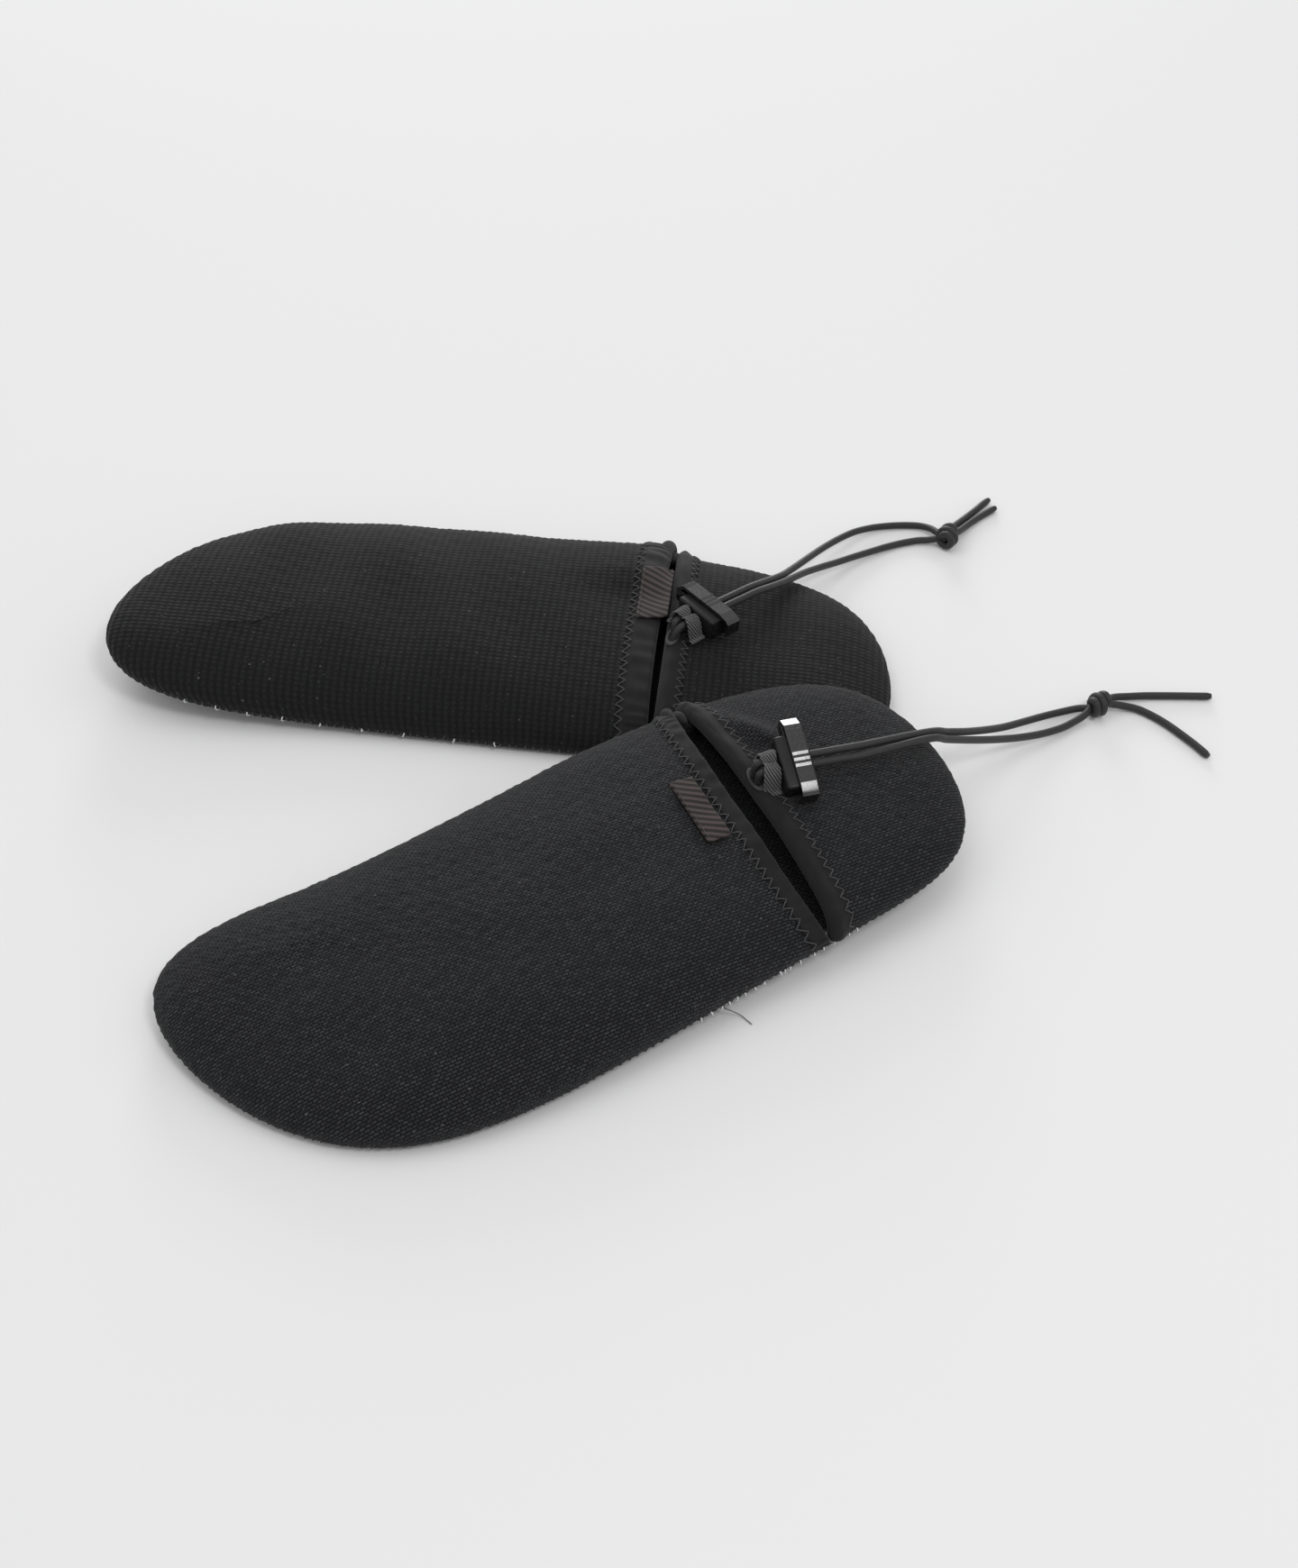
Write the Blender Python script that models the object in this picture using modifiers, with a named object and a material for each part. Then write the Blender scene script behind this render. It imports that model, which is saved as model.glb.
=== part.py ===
"""A pair of low neoprene boots. Each boot has a crosswise foot opening, a bungee drawcord and a cord lock.

Units are metres, +Z is up. Each boot is modelled in its own frame, with X from the heel to the toe and Z up from
the underside of the sole, and then laid down by an empty: the rear boot flat, the front boot with its heel on the
rear boot's heel.
"""
import math

import bmesh
import bpy
from mathutils import Matrix, Vector

# ---- driving dimensions, both boots
GAP = 0.0003
NEOPRENE = 0.003
RIM_HEIGHT = 0.0052
EDGE_ROLL = 0.006
CAP_RADIUS = 0.056
HEEL_HEIGHT = 0.0168
VAMP_HEIGHT = 0.0222
TOE_HEIGHT = 0.0157
WIDTH_WAVES = {1: 0.0652, 3: 0.0080, 4: 0.0016, 5: 0.0008, 6: 0.0007}
CORD_DIAMETER = 0.0028
STRAND_PITCH = 0.0037
THREAD_RADIUS = 0.00025

# ---- bindings of the opening: how far they wrap the panels, and the drawcord's tunnel in the collar
HEM_WRAP = 0.0012
COLLAR_PANEL_EDGE = 0.0049
BAND_OUT = 0.0010
TUNNEL_BACK = 0.0027
TUNNEL_DEPTH = 0.0015
TUNNEL_END = 0.90
BUTTONHOLE = {"a": (-0.0022, 0.0017), "b": (-0.0054, 0.0054), "c": (-0.0014, 0.006)}

# ---- label: the clearance under it and its thickness
LABEL_BASE = 0.0014
LABEL_THICKNESS = 0.0007

# The pair is shifted so that the world origin is at the bottom centre of the two boots.
PAIR_SHIFT = Vector((0.04715, 0.0124, 0.0))

# ---- what differs between the two boots: a left and a right, each relaxed in its own way
BOOTS = {
    "rear": {
        "side": -1, "length": 0.2943, "heel_fullness": 0.0013, "bend": {2: -0.0106, 3: 0.0024, 4: -0.0021},
        "toe_lift": 0.0158, "place": (-0.0552, 0.0669, 0.0), "turn": 3.041, "pitch": 0.0, "roll": 0.0,
        "opening_x": 0.0868, "hem_bow": 0.0032, "collar_bow": 0.0028, "hem_width": 0.0105,
        "label": {"x": (0.0856, 0.0976), "y": (-0.0348, -0.0068), "rise": 0.0022},
        "lock": {"at": (0.0716, -0.0086, 0.0243), "out": (-0.714, -0.697, -0.06),
                 "lean": 0.0, "guide_foot": -0.0047},
    },
    "front": {
        "side": 1, "length": 0.2826, "heel_fullness": 0.0019, "bend": {2: -0.0065, 3: 0.0067, 4: -0.0015},
        "toe_lift": 0.0, "place": (-0.0240, -0.0685, 0.0079), "turn": -2.678, "pitch": 0.0465, "roll": -0.068,
        "opening_x": 0.0745, "hem_bow": 0.0050, "collar_bow": 0.0023, "hem_width": 0.0065,
        "label": {"x": (0.0882, 0.0970), "y": (-0.0193, 0.0097), "rise": 0.0},
        "lock": {"at": (0.0560, -0.0059, 0.0246), "out": (-0.979, 0.198, -0.051),
                 "lean": 0.31, "guide_foot": -0.0051},
    },
}

# ---- free cords: the lay of each strand and tail after its straight run, in the pair's own frame (millimetres
# before PAIR_SHIFT), and the knot's place and heading
CORDS = {
    "rear": {
        "knot": {"at": (121.0, 138.8, 5.0), "heading": 0.9},
        "lead_a": ((45.4, 91.1, 20.2), (50.2, 97.7, 17.2), (55.7, 106.4, 13.8), (62.0, 116.4, 10.8),
                   (69.3, 127.1, 8.0), (76.3, 135.9, 5.8), (83.4, 142.9, 4.1), (90.4, 147.3, 2.8),
                   (97.2, 149.7, 2.0), (104.0, 150.8, 1.6), (110.5, 150.2, 1.8), (114.8, 147.5, 2.6),
                   (117.0, 144.2, 3.4)),
        "lead_b": ((45.0, 84.2, 21.6), (49.7, 91.5, 18.5), (55.2, 99.2, 15.0), (61.5, 107.7, 11.4),
                   (68.4, 115.1, 8.2), (75.3, 121.2, 5.8), (82.3, 126.9, 4.0), (89.3, 131.7, 2.8),
                   (96.2, 136.0, 1.9), (103.0, 139.0, 1.6), (109.6, 140.5, 1.8), (114.1, 139.8, 2.6)),
        "tail_a": ((123.2, 145.4, 4.2), (125.0, 148.2, 3.2), (130.0, 154.5, 2.2), (134.7, 160.2, 1.7),
                   (138.5, 164.8, 1.6), (141.5, 168.1, 1.6)),
        "tail_b": ((125.8, 143.4, 4.0), (127.7, 146.2, 3.0), (131.4, 151.1, 2.1), (135.5, 155.5, 1.7),
                   (140.0, 159.5, 1.6), (143.6, 162.6, 1.6)),
    },
    "front": {
        "knot": {"at": (167.2, 37.4, 5.0), "heading": 0.35},
        "lead_a": ((87.6, -10.1, 35.4), (97.7, -6.2, 31.4), (105.2, -1.2, 26.8), (113.1, 4.7, 21.5),
                   (121.2, 11.5, 16.0), (129.4, 18.5, 11.0), (137.7, 25.4, 7.2), (145.7, 31.1, 4.6),
                   (153.5, 35.3, 3.1), (160.4, 37.5, 2.9)),
        "lead_b": ((87.2, -14.4, 35.6), (97.3, -10.0, 31.8), (104.9, -5.0, 26.8), (112.7, 0.7, 21.2),
                   (120.8, 6.7, 15.6), (128.8, 12.5, 10.6), (136.7, 17.6, 6.8), (144.6, 22.1, 4.3),
                   (152.4, 26.7, 2.9), (157.8, 30.5, 2.7), (161.7, 33.2, 3.3)),
        "tail_a": ((172.8, 42.4, 3.6), (179.9, 44.9, 2.2), (187.3, 46.0, 1.6), (194.4, 46.0, 1.6),
                   (201.5, 45.9, 1.6), (211.5, 45.7, 1.6)),
        "tail_b": ((173.6, 38.9, 3.6), (177.4, 39.4, 2.4), (182.5, 38.5, 1.7), (187.6, 34.8, 1.6),
                   (192.4, 29.9, 1.6), (197.0, 24.0, 1.6), (200.9, 18.6, 1.6), (204.4, 13.0, 1.6)),
    },
}

# ---- cord lock, in its own frame: A along the cords away from the opening, B along the lock to its far leg, C up.
# The strands run straight through it, one on each side of B = 0.
LOCK_BODY = {"a": (-0.0055, 0.0057), "b": (-0.011, 0.009), "c": (-0.0039, 0.0039)}
LOCK_POCKET = {"a": (-0.0017, 0.0047), "b": (-0.0101, 0.0105), "c": (-0.0029, 0.0029)}
LOCK_CORD_SLOT = {"a": (-0.008, 0.008), "b": (-0.0037, 0.0037), "c": (-0.0018, 0.0018)}
LOCK_STRIP_CENTRE_A = 0.0015
LOCK_STRIP_WIDTH = 0.0058
TONGUE_END = -0.0048
LOCK_TRAVEL = 0.018
LEAD_SIDES = {"a": 1, "b": -1}
STRAIGHT_START = -0.0099
STRAIGHT_END = LOCK_BODY["a"][1] + LOCK_TRAVEL + 0.0015
PLATE_TURN = Matrix(((0, 0, 1, 0), (1, 0, 0, 0), (0, 1, 0, 0), (0, 0, 0, 1)))
SPRING_TURNS = 3.5
SPRING_RADIUS = 0.0020
SPRING_WIRE = 0.00025
KNOT_SIZE = (0.0098, 0.0094, 0.0088)

# ---- finishes: colour, roughness, metallic
FINISHES = {
    "neoprene_knit": ((0.012, 0.013, 0.016), 0.92, 0.0),
    "jersey_binding": ((0.020, 0.020, 0.021), 0.85, 0.0),
    "seam_thread": ((0.060, 0.060, 0.062), 0.80, 0.0),
    "woven_label": ((0.090, 0.072, 0.066), 0.80, 0.0),
    "grosgrain": ((0.014, 0.014, 0.016), 0.75, 0.0),
    "bungee": ((0.030, 0.031, 0.034), 0.60, 0.0),
    "lock_plastic": ((0.010, 0.010, 0.011), 0.25, 0.0),
    "spring_steel": ((0.55, 0.55, 0.56), 0.35, 1.0),
}

AROUND = 52
CLIMBS = (0.0, 0.07, 0.16, 0.28, 0.42, 0.58, 0.78, 1.0)
STATIONS = [climb - 1.0 for climb in CLIMBS] + [1.0 - climb for climb in reversed(CLIMBS[:-1])]
BAND_STATIONS = [-0.985, *STATIONS[1:-1], 0.985]


def clear_scene():
    for obj in list(bpy.data.objects):
        bpy.data.objects.remove(obj, do_unlink=True)


def make_collection(name):
    collection = bpy.data.collections.new(name)
    bpy.context.scene.collection.children.link(collection)
    return collection


def make_material(name):
    colour, roughness, metallic = FINISHES[name]
    material = bpy.data.materials.new(name)
    material.use_nodes = True
    shader = material.node_tree.nodes["Principled BSDF"]
    shader.inputs["Base Color"].default_value = (*colour, 1.0)
    shader.inputs["Roughness"].default_value = roughness
    shader.inputs["Metallic"].default_value = metallic
    return material


def add_object(name, data, finish, parent=None):
    obj = bpy.data.objects.new(name, data)
    PARTS.objects.link(obj)
    data.materials.append(MATERIALS[finish])
    obj.parent = parent
    return obj


def clamp(value, low=0.0, high=1.0):
    return max(low, min(high, value))


def smooth(value):
    t = clamp(value)
    return t * t * (3.0 - 2.0 * t)


# ---- the boot's form
def half_width(boot, theta):
    """Half the width of the plan outline; theta runs 0 at the heel to pi at the toe, and on to 2 pi with a minus."""
    waves = sum(size * math.sin(k * theta) for k, size in WIDTH_WAVES.items())
    return waves + boot["heel_fullness"] * math.sin(2.0 * theta)


def centre_line(boot, theta):
    return boot["side"] * sum(size * math.cos(k * theta) for k, size in boot["bend"].items())


def crown_height(boot, x):
    t = x / boot["length"]
    height = HEEL_HEIGHT + (VAMP_HEIGHT - HEEL_HEIGHT) * smooth((t - 0.12) / 0.42)
    return height + (TOE_HEIGHT - VAMP_HEIGHT) * clamp((t - 0.6) / 0.4) ** 1.5


def toe_lift(boot, x):
    return boot["toe_lift"] * clamp((x / boot["length"] - 0.55) / 0.45) ** 2


def level_point(boot, theta, level):
    """A point of one closed level line: level is (scale of the outline, base height, share of the crown)."""
    scale, base, share = level
    half = boot["length"] / 2.0
    x = half - math.cos(theta) * (half - CAP_RADIUS * (1.0 - scale))
    y = centre_line(boot, theta) + scale * half_width(boot, theta)
    z = base + share * (crown_height(boot, x) - RIM_HEIGHT) + toe_lift(boot, x)
    return Vector((x, y, z))


def roll_level(depth, turn):
    """The rolled lower edge of a skin that lies depth inside the outer face; turn is 0 at the rim, 1 at the seam."""
    angle = turn * math.pi / 2.0
    inset = depth + (EDGE_ROLL - depth) * (1.0 - math.cos(angle))
    return (1.0 - inset / CAP_RADIUS, depth + (RIM_HEIGHT - depth) * (1.0 - math.sin(angle)), 0.0)


def dome_level(depth, climb):
    """The dome above the rim; climb is 0 at the rim, 1 along the ridge."""
    angle = climb * math.pi / 2.0
    share = math.sin(angle) ** 0.9
    scale = (1.0 - depth / CAP_RADIUS) * max(0.0, math.cos(angle)) ** 0.75
    return (0.0 if climb == 1.0 else scale, RIM_HEIGHT - depth * share, share)


def upper_point(boot, x, q, depth=0.0):
    """A point of the upper at x, depth under its outer face; q is -1 and 1 at the rims and 0 along the ridge."""
    scale, base, share = dome_level(depth, 1.0 - abs(q))
    half = boot["length"] / 2.0
    theta = math.acos(clamp((half - x) / (half - CAP_RADIUS * (1.0 - scale)), -1.0, 1.0))
    y = centre_line(boot, theta) + math.copysign(scale * half_width(boot, theta), q)
    return Vector((x, y, base + share * (crown_height(boot, x) - RIM_HEIGHT) + toe_lift(boot, x)))


def upper_frame(boot, x, q, depth=0.0):
    """Point, toe-ward tangent and outward normal of the upper, depth under its outer face."""
    step_x, step_q = 0.0005, 0.002
    point = upper_point(boot, x, q, depth)
    toeward = (upper_point(boot, x + step_x, q, depth) - upper_point(boot, x - step_x, q, depth)).normalized()
    low, high = max(-1.0, q - step_q), min(1.0, q + step_q)
    across = (upper_point(boot, x, high, depth) - upper_point(boot, x, low, depth)).normalized()
    return point, toeward, toeward.cross(across).normalized()


def skin_point(boot, x, q, along, out):
    """A point beside (x, q): along toe-ward, out from the outer face; between the faces it follows the skin."""
    outer, toeward, outer_normal = upper_frame(boot, x, q)
    inner, _, inner_normal = upper_frame(boot, x, q, NEOPRENE)
    point = outer.lerp(inner, clamp(-out / NEOPRENE)) + toeward * along
    return point + outer_normal * max(0.0, out) + inner_normal * min(0.0, out + NEOPRENE)


def q_at_y(boot, x, y):
    """The q of the point of the upper at (x, y), by bisection."""
    low, high = -1.0, 1.0
    for _ in range(40):
        middle = (low + high) / 2.0
        if upper_point(boot, x, middle).y < y:
            low = middle
        else:
            high = middle
    return (low + high) / 2.0


def hem_x(boot, q):
    return boot["opening_x"] + GAP / 2.0 + boot["hem_bow"] * (1.0 - q * q)


def collar_x(boot, q):
    return boot["opening_x"] - GAP / 2.0 - boot["collar_bow"] * (1.0 - q * q)


# ---- mesh makers
def mesh_from_rings(name, rings, closed_ring, capped):
    """A closed surface through rings of equal length, capped at both ends or pinched there."""
    bm = bmesh.new()
    rows = [[bm.verts.new(point) for point in ring] for ring in rings]
    count = len(rows[0])
    for row, next_row in zip(rows, rows[1:]):
        for i in range(count if closed_ring else count - 1):
            j = (i + 1) % count
            bm.faces.new((row[i], row[j], next_row[j], next_row[i]))
    if capped:
        bm.faces.new(reversed(rows[0]))
        bm.faces.new(rows[-1])
    else:
        bmesh.ops.remove_doubles(bm, verts=bm.verts, dist=1e-7)
    bmesh.ops.recalc_face_normals(bm, faces=bm.faces)
    mesh = bpy.data.meshes.new(name)
    bm.to_mesh(mesh)
    bm.free()
    return mesh


def level_loft(name, boot, levels):
    thetas = [2.0 * math.pi * i / AROUND for i in range(AROUND)]
    rings = [[level_point(boot, theta, level) for theta in thetas] for level in levels]
    return mesh_from_rings(name, rings, closed_ring=True, capped=False)


def sweep_band(name, boot, edge, profile):
    """A band along the opening: edge(boot, q) gives x, profile is (toe-ward, outward) from the outer face."""
    rings = []
    for q in BAND_STATIONS:
        rings.append([skin_point(boot, edge(boot, q), q, along, out) for along, out in profile])
    return mesh_from_rings(name, rings, closed_ring=True, capped=True)


def box_mesh(name, spans):
    bm = bmesh.new()
    bmesh.ops.create_cube(bm, size=1.0)
    low = Vector([spans[key][0] for key in "abc"])
    high = Vector([spans[key][1] for key in "abc"])
    for vert in bm.verts:
        vert.co = Vector([(low[i] + high[i]) / 2.0 + vert.co[i] * (high[i] - low[i]) for i in range(3)])
    mesh = bpy.data.meshes.new(name)
    bm.to_mesh(mesh)
    bm.free()
    return mesh


def prism_mesh(name, outline, low, high):
    """An upright prism over a plan outline, for a cutter."""
    rings = [[Vector((x, y, z)) for x, y in outline] for z in (low, high)]
    return mesh_from_rings(name, rings, closed_ring=True, capped=True)


def add_cutter(name, mesh, parent, matrix=None):
    cutter = bpy.data.objects.new(name, mesh)
    CUTTERS.objects.link(cutter)
    cutter.parent = parent
    if matrix is not None:
        cutter.matrix_local = matrix
    cutter.hide_render = True
    cutter.display_type = "WIRE"
    return cutter


def add_boolean(obj, cutter, operation):
    modifier = obj.modifiers.new(operation.lower(), "BOOLEAN")
    modifier.operation = operation
    modifier.object = cutter
    modifier.solver = "EXACT"


def smooth_path(points, spacing):
    """Evenly spaced points on the Catmull-Rom curve through the given ones."""
    ends = [2.0 * points[0] - points[1], *points, 2.0 * points[-1] - points[-2]]
    dense = []
    for p0, p1, p2, p3 in zip(ends, ends[1:], ends[2:], ends[3:]):
        for i in range(16):
            t = i / 16.0
            dense.append(0.5 * (2.0 * p1 + (p2 - p0) * t + (2.0 * p0 - 5.0 * p1 + 4.0 * p2 - p3) * t * t
                                + (3.0 * p1 - p0 - 3.0 * p2 + p3) * t ** 3))
    dense.append(points[-1])
    lengths = [0.0]
    for a, b in zip(dense, dense[1:]):
        lengths.append(lengths[-1] + (b - a).length)
    count = max(2, round(lengths[-1] / spacing) + 1)
    path = []
    k = 0
    for i in range(count):
        target = lengths[-1] * i / (count - 1)
        while k < len(lengths) - 2 and lengths[k + 1] < target:
            k += 1
        share = (target - lengths[k]) / max(1e-9, lengths[k + 1] - lengths[k])
        path.append(dense[k].lerp(dense[k + 1], share))
    return path


def add_tube(name, points, radius, finish, parent, cyclic=False, resolution=2):
    curve = bpy.data.curves.new(name, "CURVE")
    curve.dimensions = "3D"
    curve.bevel_depth = radius
    curve.bevel_resolution = resolution
    curve.use_fill_caps = True
    spline = curve.splines.new("POLY")
    spline.points.add(len(points) - 1)
    for slot, point in zip(spline.points, points):
        slot.co = (*point, 1.0)
    spline.use_cyclic_u = cyclic
    return add_object(name, curve, finish, parent)


def boot_matrix(boot):
    place = Matrix.Translation(Vector(boot["place"]) + PAIR_SHIFT)
    lie = (Matrix.Rotation(boot["turn"], 4, "Z") @ Matrix.Rotation(boot["pitch"], 4, "Y")
           @ Matrix.Rotation(boot["roll"], 4, "X"))
    return place @ lie @ Matrix.Translation((-boot["length"] / 2.0, 0.0, 0.0))


# ---- the panels
def add_panels(prefix, boot, frame):
    steps = (1.0, 0.5)
    outer = [dome_level(0.0, climb) for climb in reversed(CLIMBS)] + [roll_level(0.0, t) for t in reversed(steps)]
    inner = [roll_level(NEOPRENE, 1.0)] + [dome_level(NEOPRENE, climb) for climb in CLIMBS]
    upper = level_loft(f"{prefix}_upper", boot, outer + inner)
    reach = 0.09
    # the raw edge of each panel lies inside the binding that closes it
    for panel, edge, inset, far in (("vamp_panel", hem_x, HEM_WRAP + GAP, boot["length"] + 0.05),
                                    ("heel_panel", collar_x, -COLLAR_PANEL_EDGE, -0.05)):
        line = [(edge(boot, q) + inset, upper_point(boot, edge(boot, q), q).y) for q in STATIONS]
        line = [(line[0][0], -reach), *line, (line[-1][0], reach)]
        outline = line + [(far, reach), (far, -reach)]
        obj = add_object(f"{prefix}_{panel}", upper.copy(), "neoprene_knit", frame)
        limit = f"{prefix}_{panel}_limit"
        add_boolean(obj, add_cutter(limit, prism_mesh(limit, outline, -0.02, 0.06), frame), "INTERSECT")
    bpy.data.meshes.remove(upper)

    edge_scale = roll_level(0.0, 1.0)[0] - GAP / CAP_RADIUS
    scales = (0.0, 0.45, edge_scale)
    levels = [(scale, 0.0, 0.0) for scale in scales] + [(scale, NEOPRENE, 0.0) for scale in reversed(scales)]
    sole = level_loft(f"{prefix}_sole_panel", boot, levels)
    add_object(f"{prefix}_sole_panel", sole, "neoprene_knit", frame)


# ---- the bindings of the opening
def add_bindings(prefix, boot, frame):
    """Both bindings wrap their panel's raw edge: the hem closely, the collar round the drawcord's tunnel."""
    width = boot["hem_width"]
    low = -NEOPRENE - GAP
    hem = [(width, GAP), (width, BAND_OUT), (0.0009, BAND_OUT), (0.0001, 0.0002), (0.0, -0.0016),
           (0.0001, low - 0.0005), (0.0009, low - 0.0008), (0.0050, low - 0.0008), (0.0050, low),
           (HEM_WRAP, low), (0.0008, -0.0016), (HEM_WRAP, GAP)]
    mesh = sweep_band(f"{prefix}_vamp_hem", boot, hem_x, hem)
    add_object(f"{prefix}_vamp_hem", mesh, "jersey_binding", frame)

    collar = [(-0.0074, GAP), (-0.0074, BAND_OUT), (-0.0050, 0.0012), (-0.0022, 0.0012), (-0.0006, 0.0003),
              (0.0, -0.0015), (-0.0006, -0.0032), (-0.0022, low - 0.0008), (-0.0074, low - 0.0008),
              (-0.0074, low), (-0.0046, low), (-0.0024, low), (-0.0011, -0.0029), (-0.0007, -0.0015),
              (-0.0011, 0.0), (-0.0022, 0.0004), (-0.0046, GAP)]
    mesh = sweep_band(f"{prefix}_heel_collar", boot, collar_x, collar)
    obj = add_object(f"{prefix}_heel_collar", mesh, "jersey_binding", frame)
    # both ends of the drawcord come out of one buttonhole
    x, _, q = buttonhole(boot)
    point, toeward, normal = upper_frame(boot, x, q)
    matrix = Matrix.Identity(4)
    for column, axis in enumerate((toeward, normal.cross(toeward), normal)):
        matrix.col[column].xyz = axis
    matrix.translation = point
    hole = box_mesh(f"{prefix}_buttonhole", BUTTONHOLE)
    add_boolean(obj, add_cutter(f"{prefix}_buttonhole", hole, frame, matrix), "DIFFERENCE")


def buttonhole(boot):
    """Where the lock's cord line meets the drawcord tunnel: x, y and q."""
    start = Vector(boot["lock"]["at"])
    out = Vector(boot["lock"]["out"])
    y = start.y
    for _ in range(12):
        q = q_at_y(boot, collar_x(boot, 0.0), y)
        x = collar_x(boot, q) - TUNNEL_BACK
        y = start.y + out.y / out.x * (x - start.x)
    return x, y, q


# ---- the threads
def zigzag(boot, edge, near, far, out, q_end, count):
    points = []
    for i in range(count):
        q = -q_end + 2.0 * q_end * i / (count - 1)
        point, _, normal = upper_frame(boot, edge(boot, q) + (near if i % 2 else far), q)
        points.append(point + normal * out)
    return points


def add_threads(prefix, boot, frame):
    out = BAND_OUT + THREAD_RADIUS + GAP
    width = boot["hem_width"]
    rows = {
        "vamp_zigzag": (hem_x, width - 0.0012, width + 0.0013, 0.93, 46),
        "collar_zigzag": (collar_x, -0.0081, -0.0056, 0.93, 46),
    }
    for name, (edge, near, far, q_end, count) in rows.items():
        points = zigzag(boot, edge, near, far, out + 0.0001, q_end, count)
        add_tube(f"{prefix}_{name}", points, THREAD_RADIUS, "seam_thread", frame, resolution=0)
    # the overlock thread runs round the rolled lower edge
    ring = []
    for i in range(72):
        theta = 2.0 * math.pi * i / 72
        point = level_point(boot, theta, roll_level(0.0, 0.42))
        inside = level_point(boot, theta, roll_level(NEOPRENE, 0.42))
        ring.append(point + (point - inside).normalized() * (THREAD_RADIUS + GAP))
    add_tube(f"{prefix}_perimeter_seam", ring, THREAD_RADIUS, "seam_thread", frame, cyclic=True, resolution=0)


# ---- label and cord guide
def add_label(prefix, boot, frame):
    spec = boot["label"]
    faces = []
    for out in (LABEL_BASE, LABEL_BASE + LABEL_THICKNESS):
        rows = []
        for i in range(5):
            x = spec["x"][1] + (spec["x"][0] - spec["x"][1]) * i / 4
            row = []
            for j in range(8):
                y = spec["y"][0] + (spec["y"][1] - spec["y"][0]) * j / 7
                point, _, normal = upper_frame(boot, x, q_at_y(boot, x, y))
                row.append(point + normal * (out + spec["rise"] * (i / 4) ** 2))
            rows.append(row)
        faces.append(rows)
    lower, upper = faces
    rings = [low_row + list(reversed(high_row)) for low_row, high_row in zip(lower, upper)]
    mesh = mesh_from_rings(f"{prefix}_label", rings, closed_ring=True, capped=True)
    add_object(f"{prefix}_label", mesh, "woven_label", frame)
    # one line of stitches along the sewn edge of the label
    path = []
    for j in range(14):
        y = spec["y"][0] + 0.001 + (spec["y"][1] - spec["y"][0] - 0.002) * j / 13
        x = spec["x"][1] - 0.0009
        point, _, normal = upper_frame(boot, x, q_at_y(boot, x, y))
        path.append(point + normal * (LABEL_BASE + LABEL_THICKNESS + THREAD_RADIUS + 0.0002))
    add_tube(f"{prefix}_label_stitch", path, THREAD_RADIUS, "seam_thread", frame, resolution=0)


def guide_matrix(boot):
    """The lock's frame before it leans: A along the cords, B level, C up."""
    out = Vector(boot["lock"]["out"]).normalized()
    across = Vector((0.0, 0.0, 1.0)).cross(out).normalized()
    matrix = Matrix.Identity(4)
    for column, axis in enumerate((out, across, out.cross(across))):
        matrix.col[column].xyz = axis
    matrix.translation = Vector(boot["lock"]["at"])
    return matrix


def lock_matrix(boot):
    """The lock's frame in the boot; it leans on its near end, about the cords."""
    return guide_matrix(boot) @ Matrix.Rotation(boot["lock"]["lean"], 4, "X")


def add_flat_outline(name, loops, thickness, finish, parent):
    """A plate whose outline lies in its XY plane; the second loop is a window."""
    curve = bpy.data.curves.new(name, "CURVE")
    curve.dimensions = "2D"
    curve.fill_mode = "BOTH"
    curve.extrude = thickness / 2.0
    for loop in loops:
        spline = curve.splines.new("POLY")
        spline.points.add(len(loop) - 1)
        for slot, (x, y) in zip(spline.points, loop):
            slot.co = (x, y, 0.0, 1.0)
        spline.use_cyclic_u = True
    return add_object(name, curve, finish, parent)


def add_guide(prefix, boot, frame):
    """A folded ribbon that bridges both cords between the collar and the lock."""
    foot, half, top, thick = boot["lock"]["guide_foot"], 0.0044, 0.0029, 0.0008
    outer = [(-half - 0.0030, foot), (-half - 0.0030, foot + thick), (-half - thick, foot + thick),
             (-half - thick, top - 0.0012), (-half + 0.0006, top + thick), (half - 0.0006, top + thick),
             (half + thick, top - 0.0012), (half + thick, foot + thick), (half + 0.0030, foot + thick),
             (half + 0.0030, foot)]
    inner = [(half, foot), (half, top - 0.0014), (half - 0.0010, top), (-half + 0.0010, top),
             (-half, top - 0.0014), (-half, foot)]
    guide = add_flat_outline(f"{prefix}_cord_guide", [outer + inner], 0.0036, "grosgrain", frame)
    guide.matrix_local = guide_matrix(boot) @ Matrix.Translation((-0.0079, 0.0, 0.0)) @ PLATE_TURN


# ---- the cord lock
def slider_outline():
    """The sprung strip: plate with ridges, far leg, tongue in the pocket and the curled near end."""
    mm = 0.001
    ridge_width, ridge_height = 1.0, 0.35
    outer = [(12.6, 5.7)]
    for start in (1.2, -1.0, -3.2):
        outer += [(start, 5.7), (start - 0.2, 5.7 + ridge_height), (start - ridge_width + 0.2, 5.7 + ridge_height),
                  (start - ridge_width, 5.7)]
    quarter = [math.radians(degrees) for degrees in range(0, 91, 18)]
    outer += [(-11.5 - 3.5 * math.sin(a), 2.2 + 3.5 * math.cos(a)) for a in quarter]
    outer += [(-15.0, -0.8), (-14.5, -1.8), (-13.5, -1.6), (-13.6, -0.8)]
    outer += [(-11.5 - 2.1 * math.cos(a), 2.2 + 2.1 * math.sin(a)) for a in quarter]
    tongue_end = TONGUE_END / mm
    outer += [(12.4, 4.3), (13.4, 2.6), (tongue_end, 2.6), (tongue_end, -2.6), (14.2, -2.6), (15.0, -1.8),
              (15.0, 3.5)]
    window = [(6.6, 1.9), (-3.6, 1.9), (-3.6, -1.9), (6.6, -1.9)]
    return [[(b * mm, c * mm) for b, c in loop] for loop in (outer, window)]


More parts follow.
